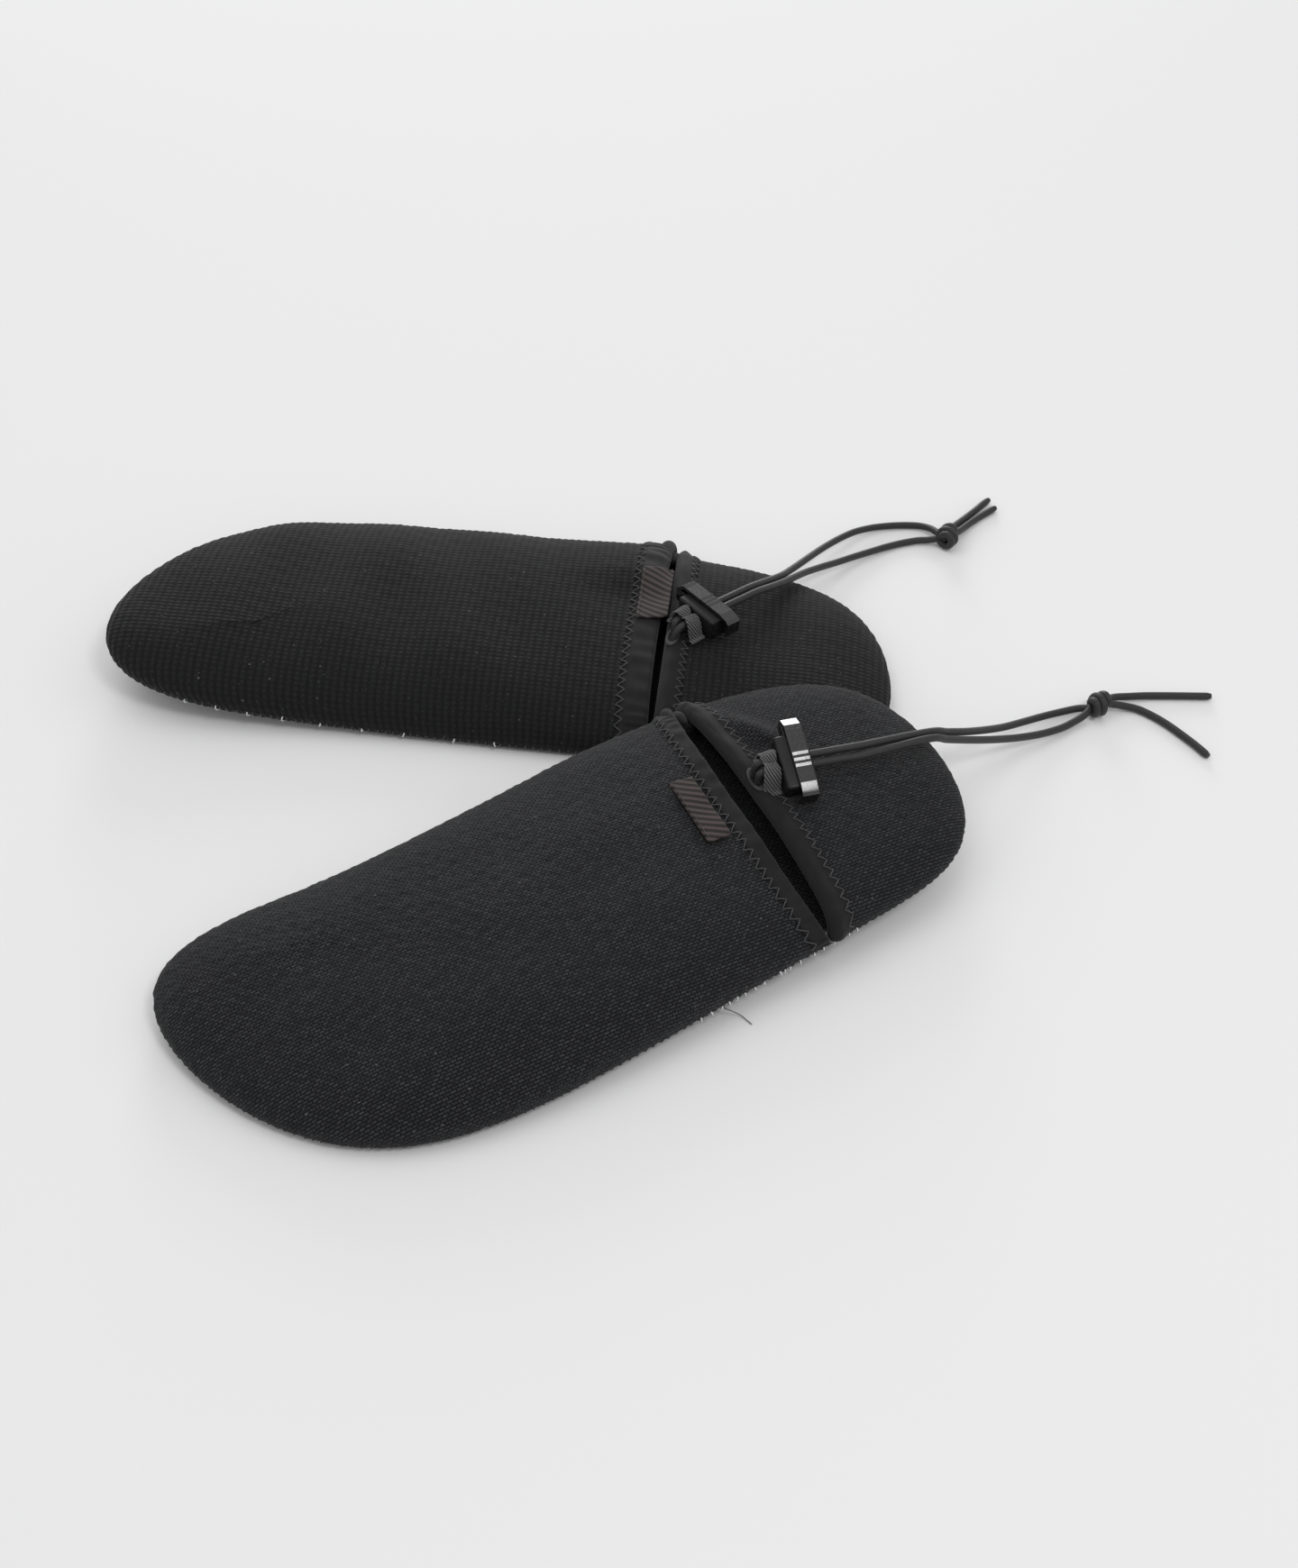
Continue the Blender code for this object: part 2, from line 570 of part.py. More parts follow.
def add_lock(prefix, lock_frame):
    body = add_object(f"{prefix}_lock_body", box_mesh(f"{prefix}_lock_body", LOCK_BODY), "lock_plastic", lock_frame)
    bevel = body.modifiers.new("rounded edges", "BEVEL")
    bevel.width = 0.0006
    bevel.segments = 1
    bevel.limit_method = "NONE"
    for name, spans in (("pocket", LOCK_POCKET), ("cord_slot", LOCK_CORD_SLOT)):
        cutter = add_cutter(f"{prefix}_lock_{name}", box_mesh(f"{prefix}_lock_{name}", spans), lock_frame)
        add_boolean(body, cutter, "DIFFERENCE")
    slider = add_flat_outline(f"{prefix}_lock_slider", slider_outline(), LOCK_STRIP_WIDTH, "lock_plastic", lock_frame)
    slider.matrix_local = Matrix.Translation((LOCK_STRIP_CENTRE_A, 0.0, 0.0)) @ PLATE_TURN

    # the spring fills the pocket between the tongue and the pocket's blind end
    steps = 9
    start = TONGUE_END - GAP - SPRING_WIRE
    end = LOCK_POCKET["b"][0] + GAP + SPRING_WIRE
    count = round(SPRING_TURNS * steps) + 1
    helix = []
    for i in range(count):
        angle = 2.0 * math.pi * i / steps
        helix.append(Vector((LOCK_STRIP_CENTRE_A + SPRING_RADIUS * math.cos(angle),
                             start + (end - start) * i / (count - 1), SPRING_RADIUS * math.sin(angle))))
    add_tube(f"{prefix}_lock_spring", helix, SPRING_WIRE, "spring_steel", lock_frame, resolution=0)


# ---- the drawcord
def channel_path(boot, sign):
    """One half of the drawcord, from its sewn end along the tunnel and up to the lock's cord line."""
    hole_x, hole_y, hole_q = buttonhole(boot)
    to_boot = lock_matrix(boot)
    last_q = q_at_y(boot, hole_x, hole_y + sign * (STRAND_PITCH / 2.0 + 0.0041))
    between = [q for q in STATIONS if min(last_q, sign * TUNNEL_END) < q < max(last_q, sign * TUNNEL_END)]
    stops = sorted([last_q, sign * TUNNEL_END, *between], reverse=sign > 0)
    corners = []
    for q in stops:
        corners.append(skin_point(boot, collar_x(boot, q), q, -TUNNEL_BACK, -TUNNEL_DEPTH))
    points = []
    for corner, following in zip(corners, corners[1:]):
        pieces = max(1, round((following - corner).length / 0.003))
        points += [corner.lerp(following, i / pieces) for i in range(pieces)]
    points.append(corners[-1])
    strand_y = hole_y + sign * STRAND_PITCH / 2.0
    point, toeward, normal = upper_frame(boot, hole_x, q_at_y(boot, hole_x, strand_y))
    points.append(point + Vector((-0.0003, sign * 0.0013, 0.0)) - normal * 0.0012)
    points.append(point + Vector((-0.0004, 0.0, 0.0)) + normal * 0.0012)
    begin = to_boot @ Vector((STRAIGHT_START, -sign * STRAND_PITCH / 2.0, 0.0))
    before = to_boot @ Vector((STRAIGHT_START - 0.0024, -sign * STRAND_PITCH / 2.0, 0.0))
    points += [point.lerp(before, 0.45) + normal * 0.0020, before, begin]
    return smooth_path(points, 0.0024)


def lead_path(prefix, boot, strand):
    """The free strand: straight through guide and lock, then along its own lay to the knot."""
    sign = LEAD_SIDES[strand]
    to_world = boot_matrix(boot) @ lock_matrix(boot)
    start = STRAIGHT_START + 0.0005
    straight = [start + (STRAIGHT_END - start) * i / 4 for i in range(5)]
    points = [to_world @ Vector((a, sign * STRAND_PITCH / 2.0, 0.0)) for a in straight]
    return points + [Vector(point) * 0.001 + PAIR_SHIFT for point in CORDS[prefix][f"lead_{strand}"]]


def add_cords(prefix, boot, frame):
    radius = CORD_DIAMETER / 2.0
    for name, sign in (("left", 1), ("right", -1)):
        add_tube(f"{prefix}_channel_cord_{name}", channel_path(boot, sign), radius, "bungee", frame)
    for strand in "ab":
        path = smooth_path(lead_path(prefix, boot, strand), 0.0065)
        add_tube(f"{prefix}_cord_lead_{strand}", path, radius, "bungee", None)
        tail = [Vector(point) * 0.001 + PAIR_SHIFT for point in CORDS[prefix][f"tail_{strand}"]]
        add_tube(f"{prefix}_cord_tail_{strand}", smooth_path(tail, 0.005), radius, "bungee", None)
    spec = CORDS[prefix]["knot"]
    bm = bmesh.new()
    bmesh.ops.create_icosphere(bm, subdivisions=2, radius=0.5)
    bmesh.ops.scale(bm, vec=KNOT_SIZE, verts=bm.verts)
    mesh = bpy.data.meshes.new(f"{prefix}_cord_knot")
    bm.to_mesh(mesh)
    bm.free()
    knot = add_object(f"{prefix}_cord_knot", mesh, "bungee", None)
    knot.location = Vector(spec["at"]) * 0.001 + PAIR_SHIFT
    knot.rotation_euler = (0.0, 0.0, spec["heading"])


def add_boot(prefix, boot):
    frame = bpy.data.objects.new(f"{prefix}_boot_frame", None)
    PARTS.objects.link(frame)
    frame.matrix_world = boot_matrix(boot)
    lock_frame = bpy.data.objects.new(f"{prefix}_lock_frame", None)
    PARTS.objects.link(lock_frame)
    lock_frame.parent = frame
    lock_frame.matrix_local = lock_matrix(boot)
    add_panels(prefix, boot, frame)
    add_bindings(prefix, boot, frame)
    add_threads(prefix, boot, frame)
    add_label(prefix, boot, frame)
    add_guide(prefix, boot, frame)
    add_lock(prefix, lock_frame)
    add_cords(prefix, boot, frame)


clear_scene()
PARTS = make_collection("neoprene_boots")
CUTTERS = make_collection("cutters")
MATERIALS = {name: make_material(name) for name in FINISHES}
for prefix, boot in BOOTS.items():
    add_boot(prefix, boot)
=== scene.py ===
"""Looks for the pair of low neoprene boots: knit skins, jersey bindings, seam threads, labels, drawcords and
cord locks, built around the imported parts. Lengths are metres; each boot's own frame has X from heel to toe
and Z up. On its skin, v is 0 on the ridge, 1 and -1 on the rims, and 2 and -2 on the seam underneath."""
import math

import bmesh
import bpy
import numpy as np
from mathutils import Matrix, Vector


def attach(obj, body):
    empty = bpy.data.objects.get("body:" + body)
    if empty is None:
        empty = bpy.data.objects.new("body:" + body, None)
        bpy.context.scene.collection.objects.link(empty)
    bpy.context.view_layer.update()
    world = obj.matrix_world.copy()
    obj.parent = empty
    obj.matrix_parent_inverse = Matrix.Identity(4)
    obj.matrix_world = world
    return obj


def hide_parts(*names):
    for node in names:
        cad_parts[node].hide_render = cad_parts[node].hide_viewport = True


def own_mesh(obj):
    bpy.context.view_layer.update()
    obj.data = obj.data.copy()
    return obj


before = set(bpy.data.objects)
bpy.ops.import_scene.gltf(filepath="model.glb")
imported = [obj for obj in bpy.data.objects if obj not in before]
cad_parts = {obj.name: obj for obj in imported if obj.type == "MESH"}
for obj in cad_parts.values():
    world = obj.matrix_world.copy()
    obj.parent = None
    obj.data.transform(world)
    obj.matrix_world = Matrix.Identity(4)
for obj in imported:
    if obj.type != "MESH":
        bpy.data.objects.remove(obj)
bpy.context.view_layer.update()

MM = 0.001

# ---- the boots' form, as the parts have it
NEOPRENE = 0.003
RIM_HEIGHT = 0.0052
EDGE_ROLL = 0.006
CAP_RADIUS = 0.056
HEEL_HEIGHT = 0.0168
VAMP_HEIGHT = 0.0222
TOE_HEIGHT = 0.0157
WIDTH_WAVES = {1: 0.0652, 3: 0.0080, 4: 0.0016, 5: 0.0008, 6: 0.0007}
SLIT_GAP = 0.0003
CORD_DIAMETER = 0.0028
STRAND_PITCH = 0.0037
TUNNEL_BACK = 0.0027
TUNNEL_DEPTH = 0.0015
PAIR_SHIFT = Vector((0.04715, 0.0124, 0.0))

BOOTS = {
    "rear": {
        "side": -1, "length": 0.2943, "heel_fullness": 0.0013, "bend": {2: -0.0106, 3: 0.0024, 4: -0.0021},
        "toe_lift": 0.0158, "place": (-0.0552, 0.0669, 0.0), "turn": 3.041, "pitch": 0.0, "roll": 0.0,
        "opening_x": 0.0868, "hem_bow": 0.0017, "collar_bow": 0.0014, "hem_width": 0.0105,
        "label": {"x": (0.0856, 0.0976), "y": (-0.0348, -0.0068), "rise": 0.0022},
        "lock": {"at": (0.0716, -0.0086, 0.0243), "out": (-0.714, -0.697, -0.06),
                 "lean": 0.0, "guide_foot": -0.0047},
        "knit": "rib",
    },
    "front": {
        "side": 1, "length": 0.2826, "heel_fullness": 0.0019, "bend": {2: -0.0065, 3: 0.0067, 4: -0.0015},
        "toe_lift": 0.0, "place": (-0.0240, -0.0685, 0.0079), "turn": -2.678, "pitch": 0.0465, "roll": -0.068,
        "opening_x": 0.0745, "hem_bow": 0.0050, "collar_bow": 0.0023, "hem_width": 0.0065,
        "label": {"x": (0.0882, 0.0970), "y": (-0.0193, 0.0097), "rise": 0.0},
        "lock": {"at": (0.0560, -0.0059, 0.0246), "out": (-0.979, 0.198, -0.051),
                 "lean": 0.31, "guide_foot": -0.0051},
        "knit": "dash",
    },
}

# ---- the free cords' lay, as the parts have it (millimetres, before PAIR_SHIFT)
CORDS = {
    "rear": {
        "knot": {"at": (121.0, 138.8, 5.0), "heading": 0.9},
        "lead_a": ((45.4, 91.1, 20.2), (50.2, 97.7, 17.2), (55.7, 106.4, 13.8), (62.0, 116.4, 10.8),
                   (69.3, 127.1, 8.0), (76.3, 135.9, 5.8), (83.4, 142.9, 4.1), (90.4, 147.3, 2.8),
                   (97.2, 149.7, 2.0), (104.0, 150.8, 1.6), (110.5, 150.2, 1.8), (114.8, 147.5, 2.6),
                   (117.0, 144.2, 3.4)),
        "lead_b": ((45.0, 84.2, 21.6), (49.7, 91.5, 18.5), (55.2, 99.2, 15.0), (61.5, 107.7, 11.4),
                   (68.4, 115.1, 8.2), (75.3, 121.2, 5.8), (82.3, 126.9, 4.0), (89.3, 131.7, 2.8),
                   (96.2, 136.0, 1.9), (103.0, 139.0, 1.6), (109.6, 140.5, 1.8), (114.1, 139.8, 2.6)),
        "tail_a": ((123.2, 145.4, 4.2), (125.0, 148.2, 3.2), (130.0, 154.5, 2.2), (134.7, 160.2, 1.7),
                   (138.5, 164.8, 1.6), (141.5, 168.1, 1.6)),
        "tail_b": ((125.8, 143.4, 4.0), (127.7, 146.2, 3.0), (131.4, 151.1, 2.1), (135.5, 155.5, 1.7),
                   (140.0, 159.5, 1.6), (143.6, 162.6, 1.6)),
    },
    "front": {
        "knot": {"at": (167.2, 37.4, 5.0), "heading": 0.35},
        "lead_a": ((87.6, -10.1, 35.4), (97.7, -6.2, 31.4), (105.2, -1.2, 26.8), (113.1, 4.7, 21.5),
                   (121.2, 11.5, 16.0), (129.4, 18.5, 11.0), (137.7, 25.4, 7.2), (145.7, 31.1, 4.6),
                   (153.5, 35.3, 3.1), (160.4, 37.5, 2.9)),
        "lead_b": ((87.2, -14.4, 35.6), (97.3, -10.0, 31.8), (104.9, -5.0, 26.8), (112.7, 0.7, 21.2),
                   (120.8, 6.7, 15.6), (128.8, 12.5, 10.6), (136.7, 17.6, 6.8), (144.6, 22.1, 4.3),
                   (152.4, 26.7, 2.9), (157.8, 30.5, 2.7), (161.7, 33.2, 3.3)),
        "tail_a": ((172.8, 42.4, 3.6), (179.9, 44.9, 2.2), (187.3, 46.0, 1.6), (194.4, 46.0, 1.6),
                   (201.5, 45.9, 1.6), (211.5, 45.7, 1.6)),
        "tail_b": ((173.6, 38.9, 3.6), (177.4, 39.4, 2.4), (182.5, 38.5, 1.7), (187.6, 34.8, 1.6),
                   (192.4, 29.9, 1.6), (197.0, 24.0, 1.6), (200.9, 18.6, 1.6), (204.4, 13.0, 1.6)),
    },
}
LEAD_SIDES = {"a": 1, "b": -1}
STRAIGHT_START = -0.0099
STRAIGHT_END = 0.0057 + 0.018 + 0.0015

# ---- how finely the skins and bindings are drawn
SKIN_STEP = 0.001
SOLE_RINGS = 60
SOLE_STATIONS = 420
BAND_STATIONS = 260
TUBE_STEP = 0.0016

# ---- the small pieces' own sizes
KNOT_POINTS = 150
KNOT_TURNS = 2.35
KNOT_RADIUS = 0.00315
KNOT_LENGTH = 0.0064
# how far a label's lower face is from the skin, and how thick the label is
LABEL_BASE = 0.0014
LABEL_THICKNESS = 0.00055
# the guide's ribbon: half its width, the pitch of its ribs and its middle along A
RIBBON_HALF_WIDTH = 0.0031
RIBBON_PITCH = 0.00095
GUIDE_CENTRE = -0.0088
# a loose end of thread, in the same frame as CORDS
LOOSE_THREAD = ((21.9, -106.6, 6.0), (24.3, -109.1, 5.0), (26.9, -108.9, 3.0), (29.9, -109.1, 1.0),
                (33.4, -112.4, 0.5))
# the sewing: radii of the threads, pitches of the stitches, and how far the zigzags reach in v
THREAD_RADIUS = {"zigzag": 0.00021, "overlock": 0.00022, "needle": 0.00026, "label": 0.00014,
                 "buttonhole": 0.00020, "loose": 0.00016}
ZIGZAG_PITCH = 0.0021
ZIGZAG_REACH = 0.955
OVERLOCK_PITCH = 0.0031
LABEL_STITCHES = 11
LABEL_STITCH_LENGTH = 0.0017
# the bars round a buttonhole: how many, and the hole's half sizes along X and across
BUTTONHOLE_BARS = 40
BUTTONHOLE_HALF = (0.0021, 0.0047)
# bits of the pale needle thread: first and last theta, and how many
NEEDLE_BITS = {"rear": (1.55, 2.45, 9), "front": (1.00, 1.48, 18)}
# the bindings: their lower face, the opening's far end in v, and the radius of the hem's lip there
BINDING_LOW = -NEOPRENE - 0.0003
FAR_END = -0.999
HEM_LIP_RADIUS = {"rear": 0.0029, "front": 0.0019}


# ---- the boots' form, for whole arrays of points
def smooth(value):
    t = np.clip(value, 0.0, 1.0)
    return t * t * (3.0 - 2.0 * t)


def run_along(points):
    """The distance along a line at each of its points, from 0 at the start."""
    return np.concatenate([[0.0], np.cumsum(np.linalg.norm(np.diff(points, axis=0), axis=1))])


def unit(vectors):
    return vectors / np.linalg.norm(vectors, axis=-1, keepdims=True)


def half_width(boot, theta):
    waves = sum(size * np.sin(k * theta) for k, size in WIDTH_WAVES.items())
    return waves + boot["heel_fullness"] * np.sin(2.0 * theta)


def centre_line(boot, theta):
    return boot["side"] * sum(size * np.cos(k * theta) for k, size in boot["bend"].items())


def crown_height(boot, x):
    t = x / boot["length"]
    height = HEEL_HEIGHT + (VAMP_HEIGHT - HEEL_HEIGHT) * smooth((t - 0.12) / 0.42)
    return height + (TOE_HEIGHT - VAMP_HEIGHT) * np.clip((t - 0.6) / 0.4, 0.0, 1.0) ** 1.5


def toe_lift(boot, x):
    return boot["toe_lift"] * np.clip((x / boot["length"] - 0.55) / 0.45, 0.0, 1.0) ** 2


def level(v, depth):
    """Outline scale, base height and crown share at v, for a face that lies depth under the outside."""
    v = np.abs(v)
    climb = np.clip(1.0 - v, 0.0, 1.0) * math.pi / 2.0
    turn = np.clip(v - 1.0, 0.0, 1.0) * math.pi / 2.0
    share = np.sin(climb) ** 0.9
    inset = depth + (EDGE_ROLL - depth) * (1.0 - np.cos(turn))
    dome_scale = (1.0 - depth / CAP_RADIUS) * np.maximum(np.cos(climb), 0.0) ** 0.75
    scale = np.where(v <= 1.0, dome_scale, 1.0 - inset / CAP_RADIUS)
    under_rim = depth + (RIM_HEIGHT - depth) * (1.0 - np.sin(turn))
    base = np.where(v <= 1.0, RIM_HEIGHT - depth * share, under_rim)
    return scale, base, np.where(v <= 1.0, share, 0.0)


def skin(boot, theta, v, depth=0.0):
    """Points of the skin in the boot's frame; the sign of v is the side of the boot."""
    scale, base, share = level(v, depth)
    half = boot["length"] / 2.0
    x = half - np.cos(theta) * (half - CAP_RADIUS * (1.0 - scale))
    y = centre_line(boot, theta) + np.sign(v) * scale * half_width(boot, theta)
    z = base + share * (crown_height(boot, x) - RIM_HEIGHT) + toe_lift(boot, x)
    return np.stack(np.broadcast_arrays(x, y, z), axis=-1)


def theta_at(boot, x, v, depth=0.0):
    """The theta of the skin's point at x on line v."""
    scale, _, _ = level(v, depth)
    half = boot["length"] / 2.0
    return np.arccos(np.clip((half - x) / (half - CAP_RADIUS * (1.0 - scale)), -1.0, 1.0))


def hem_x(boot, q):
    return boot["opening_x"] + SLIT_GAP / 2.0 + boot["hem_bow"] * (1.0 - np.clip(q, -1.0, 1.0) ** 2)


def collar_x(boot, q):
    return boot["opening_x"] - SLIT_GAP / 2.0 - boot["collar_bow"] * (1.0 - np.clip(q, -1.0, 1.0) ** 2)


def on_skin(boot, x, v, depth=0.0):
    return skin(boot, theta_at(boot, x, v, depth), v, depth)


def skin_frame(boot, x, v, depth=0.0):
    """Point, toe-ward tangent and outward normal, for arrays of x and v."""
    x, v = np.broadcast_arrays(np.asarray(x, float), np.asarray(v, float))
    step_x, step_v = 0.0005, 0.002
    point = on_skin(boot, x, v, depth)
    toeward = on_skin(boot, x + step_x, v, depth) - on_skin(boot, x - step_x, v, depth)
    low = np.where(v < 0.0, np.maximum(v - step_v, -2.0), v - step_v)
    across = on_skin(boot, x, np.minimum(v + step_v, 2.0), depth) - on_skin(boot, x, low, depth)
    toeward = unit(toeward)
    return point, toeward, unit(np.cross(toeward, across))


def v_at_y(boot, x, y):
    low, high = -1.0, 1.0
    for _ in range(30):
        middle = (low + high) / 2.0
        if on_skin(boot, x, middle)[1] < y:
            low = middle
        else:
            high = middle
    return (low + high) / 2.0


def boot_matrix(boot):
    place = Matrix.Translation(Vector(boot["place"]) + PAIR_SHIFT)
    lie = (Matrix.Rotation(boot["turn"], 4, "Z") @ Matrix.Rotation(boot["pitch"], 4, "Y")
           @ Matrix.Rotation(boot["roll"], 4, "X"))
    return place @ lie @ Matrix.Translation((-boot["length"] / 2.0, 0.0, 0.0))


def guide_matrix(boot):
    """The lock's frame before it leans: A along the cords, B level, C up."""
    out = Vector(boot["lock"]["out"]).normalized()
    across = Vector((0.0, 0.0, 1.0)).cross(out).normalized()
    matrix = Matrix.Identity(4)
    for column, axis in enumerate((out, across, out.cross(across))):
        matrix.col[column].xyz = axis
    matrix.translation = Vector(boot["lock"]["at"])
    return matrix


def lock_matrix(boot):
    return guide_matrix(boot) @ Matrix.Rotation(boot["lock"]["lean"], 4, "X")


def ripple(u, v, wavelength, seed, waves=7):
    """A soft random surface between about -1 and 1."""
    rng = np.random.default_rng(seed)
    total = np.zeros(np.broadcast(u, v).shape)
    for _ in range(waves):
        heading = rng.uniform(0.0, math.tau)
        length = wavelength * rng.uniform(0.7, 1.6)
        phase = rng.uniform(0.0, math.tau)
        total += np.sin(math.tau * (u * math.cos(heading) + v * math.sin(heading)) / length + phase)
    return total / math.sqrt(waves)


def ridge_along(points, start, end, width):
    """1 on the line from start to end in plan, falling off within about width, rounded at both ends."""
    start, end = np.array(start), np.array(end)
    run = end - start
    t = np.clip(((points[..., :2] - start) @ run) / (run @ run), 0.0, 1.0)
    away = np.linalg.norm(points[..., :2] - (start + t[..., None] * run), axis=-1)
    return np.exp(-(away / width) ** 2) * np.sin(np.clip(t, 0.06, 0.94) * math.pi) ** 0.5


def drape(prefix, points):
    """The soft undulation of one boot's fabric, added to every fabric piece alike."""
    boot = BOOTS[prefix]
    x, y = points[..., 0], points[..., 1]
    lift = 0.00035 * ripple(x, y, 0.045, 3 if prefix == "rear" else 5)
    # the dome only; the rim keeps its place
    high = smooth((points[..., 2] - toe_lift(boot, x) - 0.006) / 0.006)
    if prefix == "front":
        # heel fabric bunched up beside the lock
        lift = lift + 0.0026 * ridge_along(points, (0.0640, -0.0440), (0.0525, -0.0225), 0.0040)
        lift = lift - 0.0008 * ridge_along(points, (0.0640, -0.0330), (0.0600, -0.0180), 0.0040)
    out = points.copy()
    out[..., 2] += lift * high
    if prefix == "rear":
        # the vamp's far side stands up beside the opening
        edge = boot["opening_x"]
        spread = np.where(x > edge + 0.006, 0.026, 0.006)
        near_edge = np.exp(-((x - edge - 0.006) / spread) ** 2) * smooth((x - edge + 0.0025) / 0.004)
        far_side = smooth((-y - 0.018) / 0.020) * smooth((points[..., 2] - 0.0035) / 0.005)
        out[..., 2] += 0.0036 * near_edge * far_side
    return out


def to_world(prefix, points):
    matrix = np.array(boot_matrix(BOOTS[prefix]))
    return points @ matrix[:3, :3].T + matrix[:3, 3]


# ---- meshes and tubes
def link(obj):
    bpy.context.scene.collection.objects.link(obj)
    return obj


def mesh_from(bm, name):
    mesh = bpy.data.meshes.new(name)
    bm.to_mesh(mesh)
    bm.free()
    return mesh


def new_mesh(name, verts, faces, uvs=None, merge=0.0):
    mesh = bpy.data.meshes.new(name)
    mesh.from_pydata([tuple(p) for p in verts], [], [tuple(f) for f in faces])
    if uvs is not None:
        layer = mesh.uv_layers.new(name="cloth")
        corners = np.empty(len(mesh.loops), dtype=np.int64)
        mesh.loops.foreach_get("vertex_index", corners)
        layer.data.foreach_set("uv", np.asarray(uvs)[corners].astype(np.float32).ravel())
    if merge:
        bm = bmesh.new()
        bm.from_mesh(mesh)
        bmesh.ops.remove_doubles(bm, verts=bm.verts, dist=merge)
        bmesh.ops.dissolve_degenerate(bm, dist=merge / 10.0, edges=bm.edges)
        bmesh.ops.recalc_face_normals(bm, faces=bm.faces)
        bm.to_mesh(mesh)
        bm.free()
    mesh.shade_smooth()
    return link(bpy.data.objects.new(name, mesh))


def grid_quads(rows, cols, start=0, flip=False):
    index = start + np.arange(rows * cols).reshape(rows, cols)
    quads = np.stack([index[:-1, :-1], index[:-1, 1:], index[1:, 1:], index[1:, :-1]], axis=-1).reshape(-1, 4)
    return quads[:, ::-1] if flip else quads


def ring_mesh(name, rings, uvs=None, merge=0.0):
    """A closed tube through rings of equal length, capped at both ends."""
    rings = np.asarray(rings)
    count, around = rings.shape[:2]
    index = np.arange(count * around).reshape(count, around)
    wrapped = np.concatenate([index, index[:, :1]], axis=1)
    quads = np.stack([wrapped[:-1, :-1], wrapped[:-1, 1:], wrapped[1:, 1:], wrapped[1:, :-1]], axis=-1)
    faces = quads.reshape(-1, 4).tolist()
    faces += [index[0][::-1].tolist(), index[-1].tolist()]
    flat_uvs = None if uvs is None else np.asarray(uvs).reshape(-1, 2)
    obj = new_mesh(name, rings.reshape(-1, 3), faces, flat_uvs, merge)
    bm = bmesh.new()
    bm.from_mesh(obj.data)
    bmesh.ops.recalc_face_normals(bm, faces=bm.faces)
    bm.to_mesh(obj.data)
    bm.free()
    obj.data.shade_smooth()
    obj.data.set_sharp_from_angle(angle=math.radians(60.0))
    return obj


def smooth_path(points, spacing):
    """Evenly spaced points on the Catmull-Rom curve through the given ones."""
    ends = [2.0 * points[0] - points[1], *points, 2.0 * points[-1] - points[-2]]
    dense = []
    for p0, p1, p2, p3 in zip(ends, ends[1:], ends[2:], ends[3:]):
        for i in range(16):
            t = i / 16.0
            dense.append(0.5 * (2.0 * p1 + (p2 - p0) * t + (2.0 * p0 - 5.0 * p1 + 4.0 * p2 - p3) * t * t
                                + (3.0 * p1 - p0 - 3.0 * p2 + p3) * t ** 3))
    dense.append(points[-1])
    dense = np.array(dense)
    lengths = run_along(dense)
    count = max(2, round(lengths[-1] / spacing) + 1)
    targets = np.linspace(0.0, lengths[-1], count)
    return np.stack([np.interp(targets, lengths, dense[:, k]) for k in range(3)], axis=1)


def tube(name, points, radius, sides=16, closed=False):
    """A mesh tube along points, U along it in metres and V round it from 0 to 1. radius may be an array."""
    points = np.asarray(points, float)
    if closed:
        tangent = np.roll(points, -1, axis=0) - np.roll(points, 1, axis=0)
    else:
        tangent = np.gradient(points, axis=0)
    tangent = unit(tangent)
    side = np.cross(tangent[0], (0.0, 0.0, 1.0))
    if np.linalg.norm(side) < 0.1:
        side = np.cross(tangent[0], (1.0, 0.0, 0.0))
    sides_list = []
    for direction in tangent:
        side = unit(side - direction * (side @ direction))
        sides_list.append(side)
    side = np.array(sides_list)
    up = np.cross(side, tangent)
    angle = np.linspace(0.0, math.tau, sides, endpoint=False)
    radius = np.broadcast_to(np.asarray(radius, float), (len(points),))[:, None, None]
    rings = points[:, None, :] + radius * (np.cos(angle)[None, :, None] * side[:, None, :]
                                           + np.sin(angle)[None, :, None] * up[:, None, :])
    along = run_along(points)
    uvs = np.stack(np.broadcast_arrays(along[:, None], np.abs(angle / math.pi - 1.0)[None, :]), axis=-1)
    if not closed:
        return ring_mesh(name, rings, uvs)
    count = len(points)
    index = np.arange(count * sides).reshape(count, sides)
    turned = np.roll(index, -1, 1)
    faces = np.stack([index, turned, np.roll(turned, -1, 0), np.roll(index, -1, 0)], -1)
    return new_mesh(name, rings.reshape(-1, 3), faces.reshape(-1, 4), uvs.reshape(-1, 2), merge=1e-7)


def finish_piece(obj, body, look, *nodes):
    """Gives a piece its body and its look's material, and hides the CAD nodes that it stands for."""
    material, slot = LOOKS[look]
    obj.data.materials.clear()
    obj.data.materials.append(material)
    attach(obj, body)
    if nodes:
        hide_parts(*nodes)
    return obj


def cloth_tube(prefix, name, points, radius, sides, look, *nodes):
    """A tube that takes the fabric's drape, as a piece of the boot."""
    obj = tube(f"{prefix}_{name}", to_world(prefix, drape(prefix, points)), radius, sides)
    return finish_piece(obj, f"{prefix}_boot", look, *nodes)


